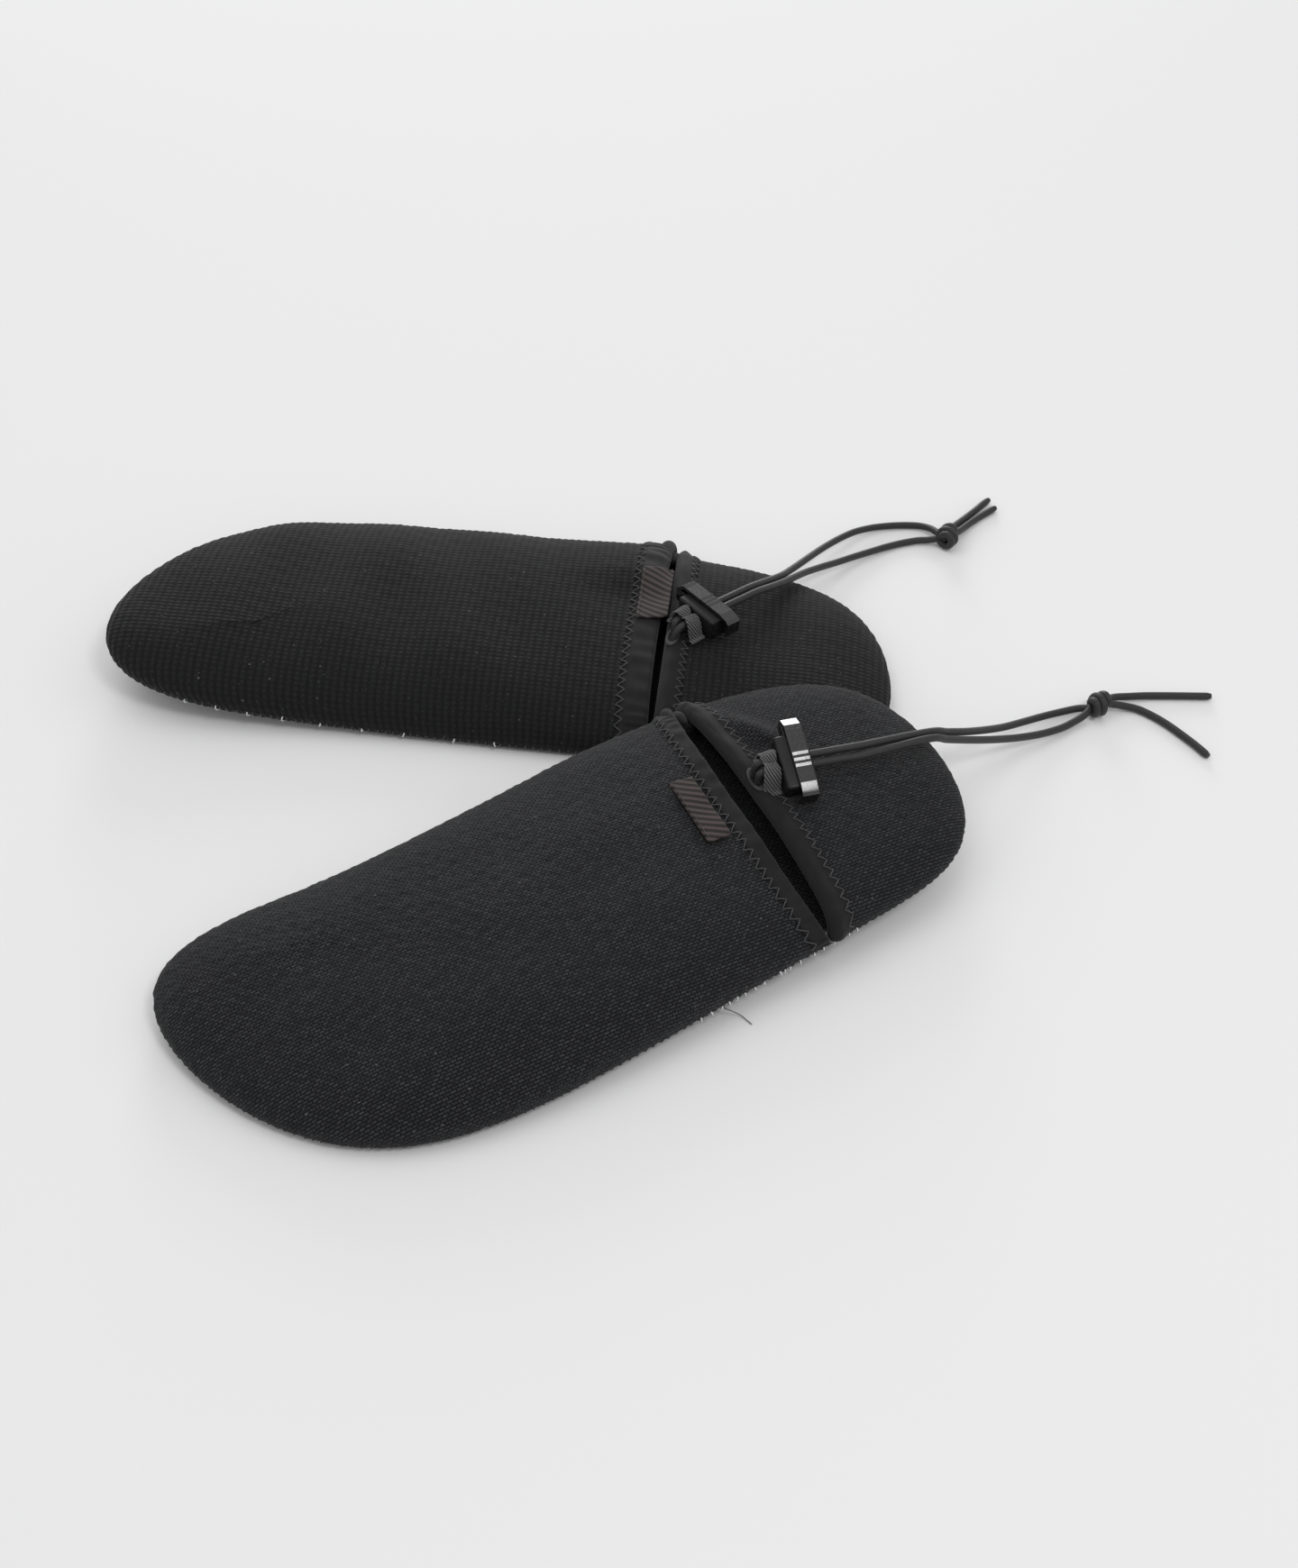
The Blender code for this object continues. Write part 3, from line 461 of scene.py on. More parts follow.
# ---- materials
class Shader:
    """A Principled material and short calls for the nodes that drive it."""

    def __init__(self, name, colour, roughness, **sockets):
        self.material = bpy.data.materials.new(name)
        self.material.use_nodes = True
        self.tree = self.material.node_tree
        self.principled = self.tree.nodes["Principled BSDF"]
        self.principled.inputs["Base Color"].default_value = (*colour, 1.0)
        self.principled.inputs["Roughness"].default_value = roughness
        for socket, value in sockets.items():
            self.principled.inputs[socket.replace("_", " ")].default_value = value

    def feed(self, socket, value):
        if isinstance(value, bpy.types.NodeSocket):
            self.tree.links.new(value, socket)
        else:
            socket.default_value = value

    def node(self, kind, inputs=None, **settings):
        """A new node; each input is fed a constant or another node's output."""
        made = self.tree.nodes.new(kind)
        for key, value in settings.items():
            setattr(made, key, value)
        for socket, value in (inputs or {}).items():
            self.feed(made.inputs[socket], value)
        return made

    def math(self, operation, a, b=0.0):
        return self.node("ShaderNodeMath", {0: a, 1: b}, operation=operation).outputs[0]

    def times(self, a, b):
        return self.math("MULTIPLY", a, b)

    def plus(self, a, b):
        return self.math("ADD", a, b)

    def in_mm(self, place):
        return self.node("ShaderNodeVectorMath", {0: place, "Scale": 1000.0}, operation="SCALE").outputs[0]

    def uv_mm(self):
        """The cloth's own coordinates in millimetres."""
        return self.in_mm(self.node("ShaderNodeUVMap", uv_map="cloth").outputs[0])

    def object_mm(self):
        """The piece's own space in millimetres."""
        return self.in_mm(self.node("ShaderNodeTexCoord").outputs["Object"])

    def split(self, vector):
        made = self.node("ShaderNodeSeparateXYZ", {0: vector})
        return made.outputs[0], made.outputs[1]

    def noise(self, vector, scale, detail=2.0):
        made = self.node("ShaderNodeTexNoise", {"Vector": vector, "Scale": scale, "Detail": detail})
        return made.outputs["Fac"]

    def wave(self, coordinate, pitch):
        """0 to 1 and back along a coordinate, once in each pitch."""
        turned = self.times(coordinate, math.tau / pitch)
        return self.times(self.plus(self.math("COSINE", turned), 1.0), 0.5)

    def range(self, value, low, high, to_low=0.0, to_high=1.0):
        return self.node("ShaderNodeMapRange", {"Value": value, "From Min": low, "From Max": high,
                                                "To Min": to_low, "To Max": to_high}).outputs["Result"]

    def mix(self, share, dark, light):
        made = self.node("ShaderNodeMix", {"Factor": share}, data_type="RGBA")
        for socket, colour in (("A", dark), ("B", light)):
            target = next(s for s in made.inputs if s.name == socket and s.type == "RGBA")
            self.feed(target, colour if isinstance(colour, bpy.types.NodeSocket) else (*colour, 1.0))
        return next(s for s in made.outputs if s.type == "RGBA")

    def colour(self, socket):
        self.feed(self.principled.inputs["Base Color"], socket)

    def roughness(self, socket):
        self.feed(self.principled.inputs["Roughness"], socket)

    def bump(self, height, distance, strength=1.0):
        made = self.node("ShaderNodeBump", {"Height": height, "Distance": distance, "Strength": strength})
        self.feed(self.principled.inputs["Normal"], made.outputs["Normal"])


# the knits' pitches, in millimetres
RIB_PITCH = 2.8
RIB_CELL = 2.0
DASH_LENGTH = 2.15
DASH_ROW = 1.1


def rib_cells(made, place):
    """Height of ribs with cross cells; fine and random noise for their tone and their painted glints."""
    along, across = made.split(place)
    ribs = made.math("POWER", made.wave(along, RIB_PITCH), 0.7)
    cells = made.range(made.wave(across, RIB_CELL), 0.0, 1.0, 0.45, 1.0)
    return made.times(ribs, cells), made.noise(place, 1.6, 3.0), made.noise(place, 0.9, 0.0)


def dash_rows(made, place):
    """Height of rows of short dashes; fine noise, and each dash's own random strength for its painted glint.
    """
    sizes = {"Vector": place, "Scale": 1.0, "Mortar Size": 0.34, "Mortar Smooth": 1.0, "Bias": -0.2,
             "Brick Width": DASH_LENGTH, "Row Height": DASH_ROW}
    greys = {"Color1": 0.0, "Color2": 1.0, "Mortar": 0.2}
    colours = {name: (grey, grey, grey, 1.0) for name, grey in greys.items()}
    brick = made.node("ShaderNodeTexBrick", sizes | colours, offset=0.5, offset_frequency=2, squash=1.0)
    height = made.math("SUBTRACT", 1.0, brick.outputs["Fac"])
    return height, made.noise(place, 2.0, 1.0), brick.outputs["Color"]


def knit_material(kind):
    """Black knit face of the neoprene: ribs with cross cells, or rows of short dashes."""
    made = Shader(f"knit_{kind}", (0.012, 0.013, 0.016), 0.88, Sheen_Weight=0.05, Sheen_Roughness=0.5,
                  Specular_IOR_Level=0.22)
    place = made.uv_mm()
    height, fine, random = (rib_cells if kind == "rib" else dash_rows)(made, place)
    body = made.plus(made.times(height, 0.75), made.times(fine, 0.25))
    if kind == "rib":
        shade = made.mix(body, (0.0016, 0.0017, 0.0020), (0.0115, 0.0119, 0.0130))
        # painted highlights: sparse random specks of glint on the fibres, painted lighter into the colour
        glints = made.times(made.range(random, 0.55, 0.8), made.range(fine, 0.52, 0.72))
        shade = made.mix(made.times(glints, 0.4), shade, (0.075, 0.075, 0.078))
    else:
        shade = made.mix(body, (0.0003, 0.0004, 0.0005), (0.0046, 0.0051, 0.0063))
        # painted highlights: a glint painted on each dash, strongest on its raised middle and varying at
        # random from dash to dash
        glints = made.times(made.range(random, 0.0, 1.0, 0.40, 1.0), made.range(fine, 0.30, 0.62))
        glints = made.times(glints, made.range(height, 0.35, 0.9))
        shade = made.mix(made.times(glints, 0.85), shade, (0.066, 0.068, 0.074))
    # lint
    lint = made.range(made.noise(place, 0.62, 1.0), 0.73, 0.78)
    shade = made.mix(made.times(lint, 0.35), shade, (0.20, 0.20, 0.21))
    made.colour(shade)
    made.bump(body, 0.00042 if kind == "rib" else 0.00030, 0.9)
    return made.material


def jersey_material():
    made = Shader("jersey_binding", (0.020, 0.020, 0.021), 0.82, Sheen_Weight=0.10, Sheen_Roughness=0.45,
                  Specular_IOR_Level=0.20)
    place = made.uv_mm()
    along, across = made.split(place)
    wales = made.wave(along, 0.42)
    courses = made.wave(across, 0.36)
    fibres = made.noise(place, 2.2, 3.0)
    soft = made.noise(place, 0.16, 2.0)
    height = made.plus(made.times(made.times(wales, courses), 0.5),
                       made.times(fibres, 0.5))
    shade = made.mix(height, (0.0045, 0.0045, 0.0047), (0.0150, 0.0148, 0.0146))
    made.colour(made.mix(made.range(soft, 0.35, 0.7, 0.0, 0.35), shade, (0.020, 0.0196, 0.0192)))
    made.bump(height, 0.00010, 0.7)
    return made.material


def thread_material(name, dark, light):
    made = Shader(name, light, 0.65, Sheen_Weight=0.2)
    along, across = made.split(made.uv_mm())
    twist = made.wave(made.plus(along, made.times(across, 0.0006)), 0.5)
    made.colour(made.mix(twist, dark, light))
    made.bump(twist, 0.00006, 0.8)
    return made.material


def bungee_material():
    """Braided sheath: two crossing sets of yarns."""
    made = Shader("bungee", (0.03, 0.031, 0.034), 0.45, Sheen_Weight=0.05, Specular_IOR_Level=0.35)
    along, across = made.split(made.uv_mm())
    lean = made.times(across, 0.0040)
    one = made.wave(made.plus(along, lean), 0.9)
    other = made.wave(made.math("SUBTRACT", along, lean), 0.9)
    yarns = made.math("MAXIMUM", one, other)
    fibres = made.noise(made.object_mm(), 3.0, 2.0)
    made.colour(made.mix(made.times(yarns, made.range(fibres, 0.3, 0.7, 0.55, 1.0)),
                         (0.004, 0.004, 0.0042), (0.034, 0.0335, 0.032)))
    made.bump(yarns, 0.00012, 0.7)
    return made.material


def label_material():
    """Brown-grey satin weave with slanted stripes and no lettering."""
    made = Shader("woven_label", (0.09, 0.07, 0.065), 0.70, Sheen_Weight=0.04, Specular_IOR_Level=0.2)
    along, across = made.split(made.uv_mm())
    slant = made.plus(across, made.times(along, 0.62))
    stripes = made.range(made.wave(slant, 2.9), 0.34, 0.60)
    yarns = made.wave(across, 0.26)
    weft = made.wave(along, 0.34)
    weave = made.plus(made.times(yarns, 0.5), made.times(weft, 0.5))
    light = made.mix(weave, (0.030, 0.022, 0.020), (0.092, 0.071, 0.066))
    dark = made.mix(weave, (0.005, 0.004, 0.004), (0.020, 0.015, 0.014))
    made.colour(made.mix(stripes, light, dark))
    height = made.plus(made.times(weave, 0.5), made.times(stripes, -0.5))
    made.bump(height, 0.00016, 0.8)
    return made.material


def ribbon_material():
    made = Shader("grosgrain", (0.014, 0.014, 0.016), 0.6, Sheen_Weight=0.25)
    along, across = made.split(made.uv_mm())
    ribs = made.wave(made.plus(made.times(across, 0.86), made.times(along, 0.5)),
                     RIBBON_PITCH / MM)
    fibres = made.noise(made.object_mm(), 2.6, 2.0)
    # painted highlights: the ribs' light lines are painted into the colour, much lighter than the dark ribbon
    made.colour(made.mix(made.times(ribs, made.range(fibres, 0.3, 0.7, 0.5, 1.0)),
                         (0.004, 0.004, 0.0045), (0.150, 0.150, 0.155)))
    made.bump(ribs, 0.00016, 1.0)
    return made.material


def plastic_material(name, roughness, specular, coat):
    made = Shader(name, (0.0095, 0.0095, 0.0105), roughness, Specular_IOR_Level=specular, Coat_Weight=coat,
                  Coat_Roughness=0.10)
    place = made.object_mm()
    scuffs = made.noise(place, 0.9, 4.0)
    made.roughness(made.range(scuffs, 0.3, 0.75, roughness * 0.7, roughness * 1.5))
    made.colour(made.mix(made.range(scuffs, 0.4, 0.8), (0.005, 0.005, 0.0052), (0.014, 0.0138, 0.0132)))
    made.bump(made.noise(place, 1.2, 1.0), 0.00001, 0.2)
    return made.material


def steel_material():
    made = Shader("spring_steel", (0.55, 0.55, 0.56), 0.3, Metallic=1.0)
    made.roughness(made.range(made.noise(made.object_mm(), 2.0, 3.0), 0.3, 0.7, 0.22, 0.42))
    return made.material


# each look: its material and the slot that it fills
LOOKS = {
    "rib": (knit_material("rib"), "neoprene_knit"),
    "dash": (knit_material("dash"), "neoprene_knit"),
    "jersey": (jersey_material(), "jersey_binding"),
    "thread": (thread_material("seam_thread", (0.012, 0.012, 0.013), (0.050, 0.050, 0.052)), "seam_thread"),
    "pale_thread": (thread_material("seam_thread_pale", (0.42, 0.42, 0.43), (0.80, 0.80, 0.82)),
                    "seam_thread"),
    "label": (label_material(), "woven_label"),
    "ribbon": (ribbon_material(), "grosgrain"),
    "bungee": (bungee_material(), "bungee"),
    "plastic": (plastic_material("lock_plastic", 0.17, 0.6, 0.7), "lock_plastic"),
    "block": (plastic_material("lock_plastic_block", 0.42, 0.3, 0.0), "lock_plastic"),
    "steel": (steel_material(), "spring_steel"),
}


# ---- camera, light and floor
CAMERA_DISTANCE = 0.788
CAMERA_ELEVATION = 0.772
LENS = 50.0
SENSOR = 36.0
BACKDROP = (0.655, 0.655, 0.66, 1.0)
FLOOR_COLOUR = (0.80, 0.80, 0.80)
FLOOR_REACH = 6.0
# place, diameter and power in watts
LIGHTS = {
    "overhead": ((-0.35, 0.25, 1.5), 1.4, 3.7),
    "key": ((0.58, -0.70, 1.45), 0.42, 6.0),
    "back": ((-0.05, 2.2, 0.55), 0.9, 19.0),
}


def add_camera():
    """Looks down at the pair from its near side."""
    data = bpy.data.cameras.new("camera")
    data.lens = LENS
    data.sensor_fit = "VERTICAL"
    data.sensor_height = SENSOR
    camera = link(bpy.data.objects.new("camera", data))
    away = Vector((0.0, -math.cos(CAMERA_ELEVATION), math.sin(CAMERA_ELEVATION)))
    camera.location = PAIR_SHIFT + away * CAMERA_DISTANCE
    camera.rotation_euler = (-away).to_track_quat("-Z", "Y").to_euler()
    bpy.context.scene.camera = camera


def add_light(name, place, size, power):
    """A soft round light that faces the pair."""
    data = bpy.data.lights.new(name, "AREA")
    data.shape = "DISK"
    data.size = size
    data.energy = power
    light = link(bpy.data.objects.new(name, data))
    light.location = place
    light.rotation_euler = (-Vector(place)).to_track_quat("-Z", "Y").to_euler()


def add_studio():
    """Even light from the world, three soft lights and a matt floor."""
    world = bpy.data.worlds.new("studio")
    world.use_nodes = True
    background = world.node_tree.nodes["Background"]
    background.inputs["Color"].default_value = BACKDROP
    background.inputs["Strength"].default_value = 1.0
    bpy.context.scene.world = world
    bpy.context.scene.view_settings.view_transform = "Standard"
    for name, (place, size, power) in LIGHTS.items():
        add_light(name, place, size, power)

    floor_paint = Shader("floor_paint", FLOOR_COLOUR, 0.9, Specular_IOR_Level=0.0)
    bm = bmesh.new()
    bmesh.ops.create_grid(bm, x_segments=2, y_segments=2, size=FLOOR_REACH)
    floor = link(bpy.data.objects.new("floor", mesh_from(bm, "floor")))
    floor.data.materials.append(floor_paint.material)


# ---- the free cords
def lead_points(prefix, strand):
    """The straight run through guide and lock, then the strand's own lay."""
    boot = BOOTS[prefix]
    to_world = boot_matrix(boot) @ lock_matrix(boot)
    start = STRAIGHT_START + 0.0005
    side = LEAD_SIDES[strand] * STRAND_PITCH / 2.0
    straight = [to_world @ Vector((start + (STRAIGHT_END - start) * i / 4, side, 0.0)) for i in range(5)]
    return straight + [Vector(point) * MM + PAIR_SHIFT for point in CORDS[prefix][f"lead_{strand}"][1:]]


def add_free_cords(prefix):
    """Each strand runs through the knot and on into its own tail."""
    knot = add_knot(prefix)
    centre = Vector(CORDS[prefix]["knot"]["at"]) * MM + PAIR_SHIFT
    for strand, side in LEAD_SIDES.items():
        lead = lead_points(prefix, strand)
        tail = [Vector(point) * MM + PAIR_SHIFT for point in CORDS[prefix][f"tail_{strand}"]]
        through = centre + Vector((0.0, -side * 0.0010, -0.0006))
        path = smooth_path([*lead, through, *tail], TUBE_STEP)
        # the sheath is cut and heat-sealed to a small round end
        radius = np.full(len(path), CORD_DIAMETER / 2.0)
        radius[-1] *= 0.72
        strand_obj = tube(f"{prefix}_bungee_{strand}", path, radius, 18)
        finish_piece(strand_obj, f"{prefix}_boot", "bungee",
                     f"{prefix}_cord_lead_{strand}", f"{prefix}_cord_tail_{strand}")


def add_knot(prefix):
    """An overhand knot drawn tight: wraps round the doubled strands, with their ends tucked inside."""
    spec = CORDS[prefix]["knot"]
    turn = Matrix.Rotation(spec["heading"], 3, "Z")
    centre = Vector(spec["at"]) * MM + PAIR_SHIFT
    points = []
    for t in np.arange(KNOT_POINTS) / (KNOT_POINTS - 1):
        angle = math.tau * KNOT_TURNS * t + 0.6
        tuck = 1.0 - 0.62 * max(0.0, abs(2.0 * t - 1.0) - 0.80) / 0.20
        radius = KNOT_RADIUS * tuck
        point = Vector(((t - 0.5) * KNOT_LENGTH + 0.0006 * math.sin(angle), radius * math.cos(angle) * 1.04,
                        radius * math.sin(angle) * 0.98))
        points.append(centre + turn @ point)
    knot = tube(f"{prefix}_overhand_knot", points, CORD_DIAMETER / 2.0 + 0.00005, 18)
    return finish_piece(knot, f"{prefix}_boot", "bungee", f"{prefix}_cord_knot")


# ---- the skins
def skin_rows(boot, step):
    """v from seam to seam over the ridge, evenly spaced along the skin."""
    fine = np.linspace(1e-9, 2.0, 1500)
    points = skin(boot, math.pi / 2.0, fine)
    arc = run_along(points)
    half = np.interp(np.linspace(0.0, arc[-1], round(arc[-1] / step) + 1), arc, fine)
    return np.concatenate([-half[:0:-1], half])


def cloth_coordinates(points, rows):
    """Coordinates that lie flat on the crown and keep the knit's true size down the sides."""
    middle = int(np.argmin(np.abs(rows)))
    uv = np.zeros(points.shape[:2] + (2,))
    uv[middle] = points[middle, :, :2]
    for step in (1, -1):
        heading = None
        j = middle + step
        while 0 <= j < len(rows):
            move = points[j] - points[j - step]
            flat = np.linalg.norm(move[:, :2], axis=1, keepdims=True)
            if abs(rows[j]) <= 0.97 or heading is None:
                heading = move[:, :2] / np.maximum(flat, 1e-9)
            uv[j] = uv[j - step] + heading * np.linalg.norm(move, axis=1, keepdims=True)
            j += step
    return uv


def knit_height(kind, uv):
    u, v = uv[..., 0] / MM, uv[..., 1] / MM
    uneven = 0.00006 * ripple(u, v, 7.0, 21)
    if kind == "rib":
        ribs = (0.5 + 0.5 * np.cos(math.tau * u / RIB_PITCH)) ** 0.8
        cells = 0.5 + 0.5 * np.cos(math.tau * v / RIB_CELL)
        return 0.00026 * ribs * (0.6 + 0.4 * cells) + uneven
    return 0.00011 * ripple(u, v, 3.4, 8) + uneven


def grid_normals(points):
    rows = np.gradient(points, axis=0)
    columns = np.gradient(points, axis=1)
    normal = np.cross(columns, rows)
    return normal / np.maximum(np.linalg.norm(normal, axis=-1, keepdims=True), 1e-12)


def panel_face(boot, x_edge, rows, share, theta_end, depth):
    start = theta_at(boot, x_edge, rows, depth)[:, None]
    return skin(boot, start + (theta_end - start) * share[None, :], rows[:, None], depth)


def wall(first, second, total):
    """Quads between a line of a sheet's upper face and the same line of its lower face, total vertices on."""
    return np.stack([first, second, second + total, first + total], axis=-1)


def shell_faces(rows, columns):
    """The faces of two grids back to back, with walls along the opening and both seams."""
    total = rows * columns
    index = np.arange(total).reshape(rows, columns)
    return np.concatenate([grid_quads(rows, columns), grid_quads(rows, columns, total, flip=True),
                           wall(index[:-1, 0], index[1:, 0], total), wall(index[0, 1:], index[0, :-1], total),
                           wall(index[-1, :-1], index[-1, 1:], total)])


def add_panel(prefix, name, edge, inset, theta_end):
    """A closed skin from the opening's edge round to the middle of the toe or the heel."""
    boot = BOOTS[prefix]
    rows = skin_rows(boot, SKIN_STEP)
    x_edge = edge(boot, rows) + inset
    first = theta_at(boot, x_edge, rows)
    reach = abs(theta_end - float(first[len(rows) // 2])) * boot["length"] / 2.0
    share = np.linspace(0.0, 1.0, round(reach / SKIN_STEP) + 1)
    outer, inner = (panel_face(boot, x_edge, rows, share, theta_end, depth) for depth in (0.0, NEOPRENE))
    uv = cloth_coordinates(outer, rows)
    normal = grid_normals(outer)
    if normal[len(rows) // 2, 3, 2] < 0.0:
        normal = -normal
    closing = normal[:, -1] + normal[::-1, -1]
    normal[:, -1] = closing / np.maximum(np.linalg.norm(closing, axis=-1, keepdims=True), 1e-9)
    uv[:, -1] = (uv[:, -1] + uv[::-1, -1]) / 2.0
    edge_fade = smooth(np.arange(len(share)) / 3.0)[None, :]
    outer = outer + normal * (knit_height(boot["knit"], uv) * edge_fade)[..., None]
    outer[:, -1] = (outer[:, -1] + outer[::-1, -1]) / 2.0
    verts = np.concatenate([outer.reshape(-1, 3), inner.reshape(-1, 3)])
    verts = to_world(prefix, drape(prefix, verts))
    uvs = np.concatenate([uv.reshape(-1, 2), uv.reshape(-1, 2)])
    obj = new_mesh(f"{prefix}_{name}_knit", verts, shell_faces(*outer.shape[:2]), uvs, merge=2e-6)
    return finish_piece(obj, f"{prefix}_boot", boot["knit"], f"{prefix}_{name}")


def add_sole(prefix):
    """The flat panel underneath, rings from its middle line out to the rolled edge on both faces."""
    boot = BOOTS[prefix]
    edge_scale = 1.0 - EDGE_ROLL / CAP_RADIUS - SLIT_GAP / CAP_RADIUS
    scales = np.linspace(0.0, 1.0, SOLE_RINGS) ** 0.8 * edge_scale
    thetas = np.linspace(0.0, math.tau, SOLE_STATIONS, endpoint=False)
    half = boot["length"] / 2.0
    rings = []
    for lower in (True, False):
        grid_scale, grid_theta = np.meshgrid(scales if lower else scales[::-1], thetas, indexing="ij")
        x = half - np.cos(grid_theta) * (half - CAP_RADIUS * (1.0 - grid_scale))
        y = centre_line(boot, grid_theta) + grid_scale * half_width(boot, grid_theta)
        knit = knit_height(boot["knit"], np.stack([x, y], axis=-1)) * smooth((edge_scale - grid_scale) / 0.03)
        face = np.maximum(0.0, 0.00030 - knit) if lower else np.full_like(x, NEOPRENE)
        z = face + toe_lift(boot, x)
        rings.append(np.stack([x, y, z], axis=-1))
    rings = np.concatenate(rings)
    count, around = rings.shape[:2]
    index = np.arange(count * around).reshape(count, around)
    after = np.roll(index, -1, axis=1)
    faces = np.stack([index[:-1], after[:-1], after[1:], index[1:]], axis=-1).reshape(-1, 4)
    verts = rings.reshape(-1, 3)
    obj = new_mesh(f"{prefix}_sole_knit", to_world(prefix, verts), faces, verts[:, :2], merge=2e-6)
    return finish_piece(obj, f"{prefix}_boot", boot["knit"], f"{prefix}_sole_panel")


# ---- bindings, threads and label
def rounded(profile, passes=3):
    """Cuts a closed profile's corners round."""
    points = np.array(profile, float)
    for _ in range(passes):
        following = np.roll(points, -1, axis=0)
        cut = [points * 0.75 + following * 0.25, points * 0.25 + following * 0.75]
        points = np.stack(cut, axis=1).reshape(-1, 2)
    return points


def beside(boot, x, v, along, out):
    """Points beside (x, v): along toe-ward, out from the face; between the faces they follow the skin."""
    outer, toeward, outer_normal = skin_frame(boot, x, v)
    inner, _, inner_normal = skin_frame(boot, x, v, NEOPRENE)
    along, out = np.broadcast_arrays(np.asarray(along, float), np.asarray(out, float))
    share = np.clip(-out / NEOPRENE, 0.0, 1.0)[..., None]
    point = outer * (1.0 - share) + inner * share + toeward * along[..., None]
    point = point + outer_normal * np.maximum(0.0, out)[..., None]
    return point + inner_normal * np.minimum(0.0, out + NEOPRENE)[..., None]


def band_lines():
    """v along a band, from rim to rim, closer together where the skin turns down."""
    turn = np.linspace(-1.0, 1.0, BAND_STATIONS)
    return np.sign(turn) * (1.0 - (1.0 - np.abs(turn)) ** 1.35) * 0.992


def sweep_band(prefix, name, edge, profile, swell):
    """A binding along the opening. swell(v, along) adds soft thickness above the skin."""
    boot = BOOTS[prefix]
    v = band_lines()[:, None]
    shape = rounded(profile)
    along, out = (np.broadcast_to(column, (len(v), len(shape))) for column in shape.T)
    rise = np.where(out > -0.001, swell(v, along), 0.0)
    x = np.broadcast_to(edge(boot, v), along.shape)
    points = beside(boot, x, np.broadcast_to(v, along.shape), along, out + rise)
    length = run_along(points[:, 0])
    girth = run_along(shape)
    uv = np.stack(np.broadcast_arrays(length[:, None], girth[None, :]), axis=-1)
    return ring_mesh(f"{prefix}_{name}", to_world(prefix, drape(prefix, points)), uv)


def add_hem(prefix):
    """The jersey folded over the vamp's edge of the opening."""
    boot = BOOTS[prefix]
    width = boot["hem_width"]
    low = BINDING_LOW
    profile = [(width, 0.00005), (width, 0.0006), (width - 0.0012, 0.0010), (0.0030, 0.0010),
               (0.0006, 0.0010), (-0.0002, -0.0002), (-0.0002, -0.0022), (0.0002, low - 0.0006),
               (0.0014, low - 0.0008), (0.0050, low - 0.0008), (0.0050, low), (0.0016, low),
               (0.0011, -0.0018), (0.0014, 0.0002), (0.0040, 0.00005)]

    def swell(v, along):
        puckers = 0.00016 * np.sin(v * 74.0 + 3.0 * np.sin(v * 9.0)) * smooth((width - along) / 0.004)
        return puckers + 0.0002 * ripple(v * 0.12, along, 0.02, 31) * smooth(along / 0.003)

    hem = sweep_band(prefix, "vamp_hem_jersey", hem_x, profile, swell)
    add_hem_lip(prefix)
    add_opening_fold(prefix)
    return finish_piece(hem, f"{prefix}_boot", "jersey", f"{prefix}_vamp_hem")


def add_collar(prefix):
    """The drawcord's tunnel: a soft roll, plump at its far end, that tapers flat towards the heel panel."""
    low = BINDING_LOW
    profile = [(-0.0080, 0.00005), (-0.0080, 0.0006), (-0.0062, 0.0011), (-0.0044, 0.0016),
               (-0.0026, 0.0018), (-0.0008, 0.0012), (0.0002, -0.0004), (0.0002, -0.0020),
               (-0.0004, -0.0036), (-0.0022, low - 0.0010), (-0.0074, low - 0.0008), (-0.0074, low),
               (-0.0046, low), (-0.0046, -0.0028), (-0.0046, 0.0)]

    def swell(v, along):
        roll = np.exp(-((along + 0.0026) / 0.0022) ** 2)
        far_end = smooth((-v - 0.55) / 0.4)
        folds = 0.00012 * np.sin(v * 41.0 + 2.0 * np.sin(v * 7.0))
        return roll * (0.0004 + 0.0011 * far_end + folds)

    collar = sweep_band(prefix, "heel_collar_jersey", collar_x, profile, swell)
    add_roll(prefix)
    return finish_piece(collar, f"{prefix}_boot", "jersey", f"{prefix}_heel_collar")


def add_hem_lip(prefix):
    """The hem's far end stands up as a soft rolled lip that closes on the collar."""
    boot = BOOTS[prefix]
    full = HEM_LIP_RADIUS[prefix]
    v = np.linspace(FAR_END, -0.45, 90)
    share = (v - FAR_END) / 0.549
    radius = 0.0007 + full * (1.0 - smooth(share)) * np.sqrt(np.clip(share / 0.10, 0.0, 1.0) * 0.7 + 0.3)
    points = beside(boot, hem_x(boot, v), v, radius - 0.0004, 0.0006 + 0.10 * radius - 0.0012 * smooth(share))
    cloth_tube(prefix, "hem_lip", points, radius, 22, "jersey")


def add_opening_fold(prefix):
    """The fold between hem and collar that closes the opening at the far rim."""
    boot = BOOTS[prefix]
    v = np.linspace(FAR_END, -0.60, 60)
    middle = (hem_x(boot, v) + collar_x(boot, v)) / 2.0
    radius = 0.0024 * np.sqrt(np.clip((-0.60 - v) / 0.12, 0.0, 1.0) * 0.9 + 0.1)
    points = beside(boot, middle, v, np.zeros_like(v), -0.0016 - 0.0012 * (1.0 + v))
    down = np.array([(0.0, 0.0006, -0.0050), (0.0, 0.0005, -0.0036), (0.0, 0.0003, -0.0020)])
    points = np.concatenate([points[:1] + down, points])
    radius = np.concatenate([[0.0012, 0.0013, 0.0015], radius])
    cloth_tube(prefix, "opening_fold", points, radius, 18, "jersey")


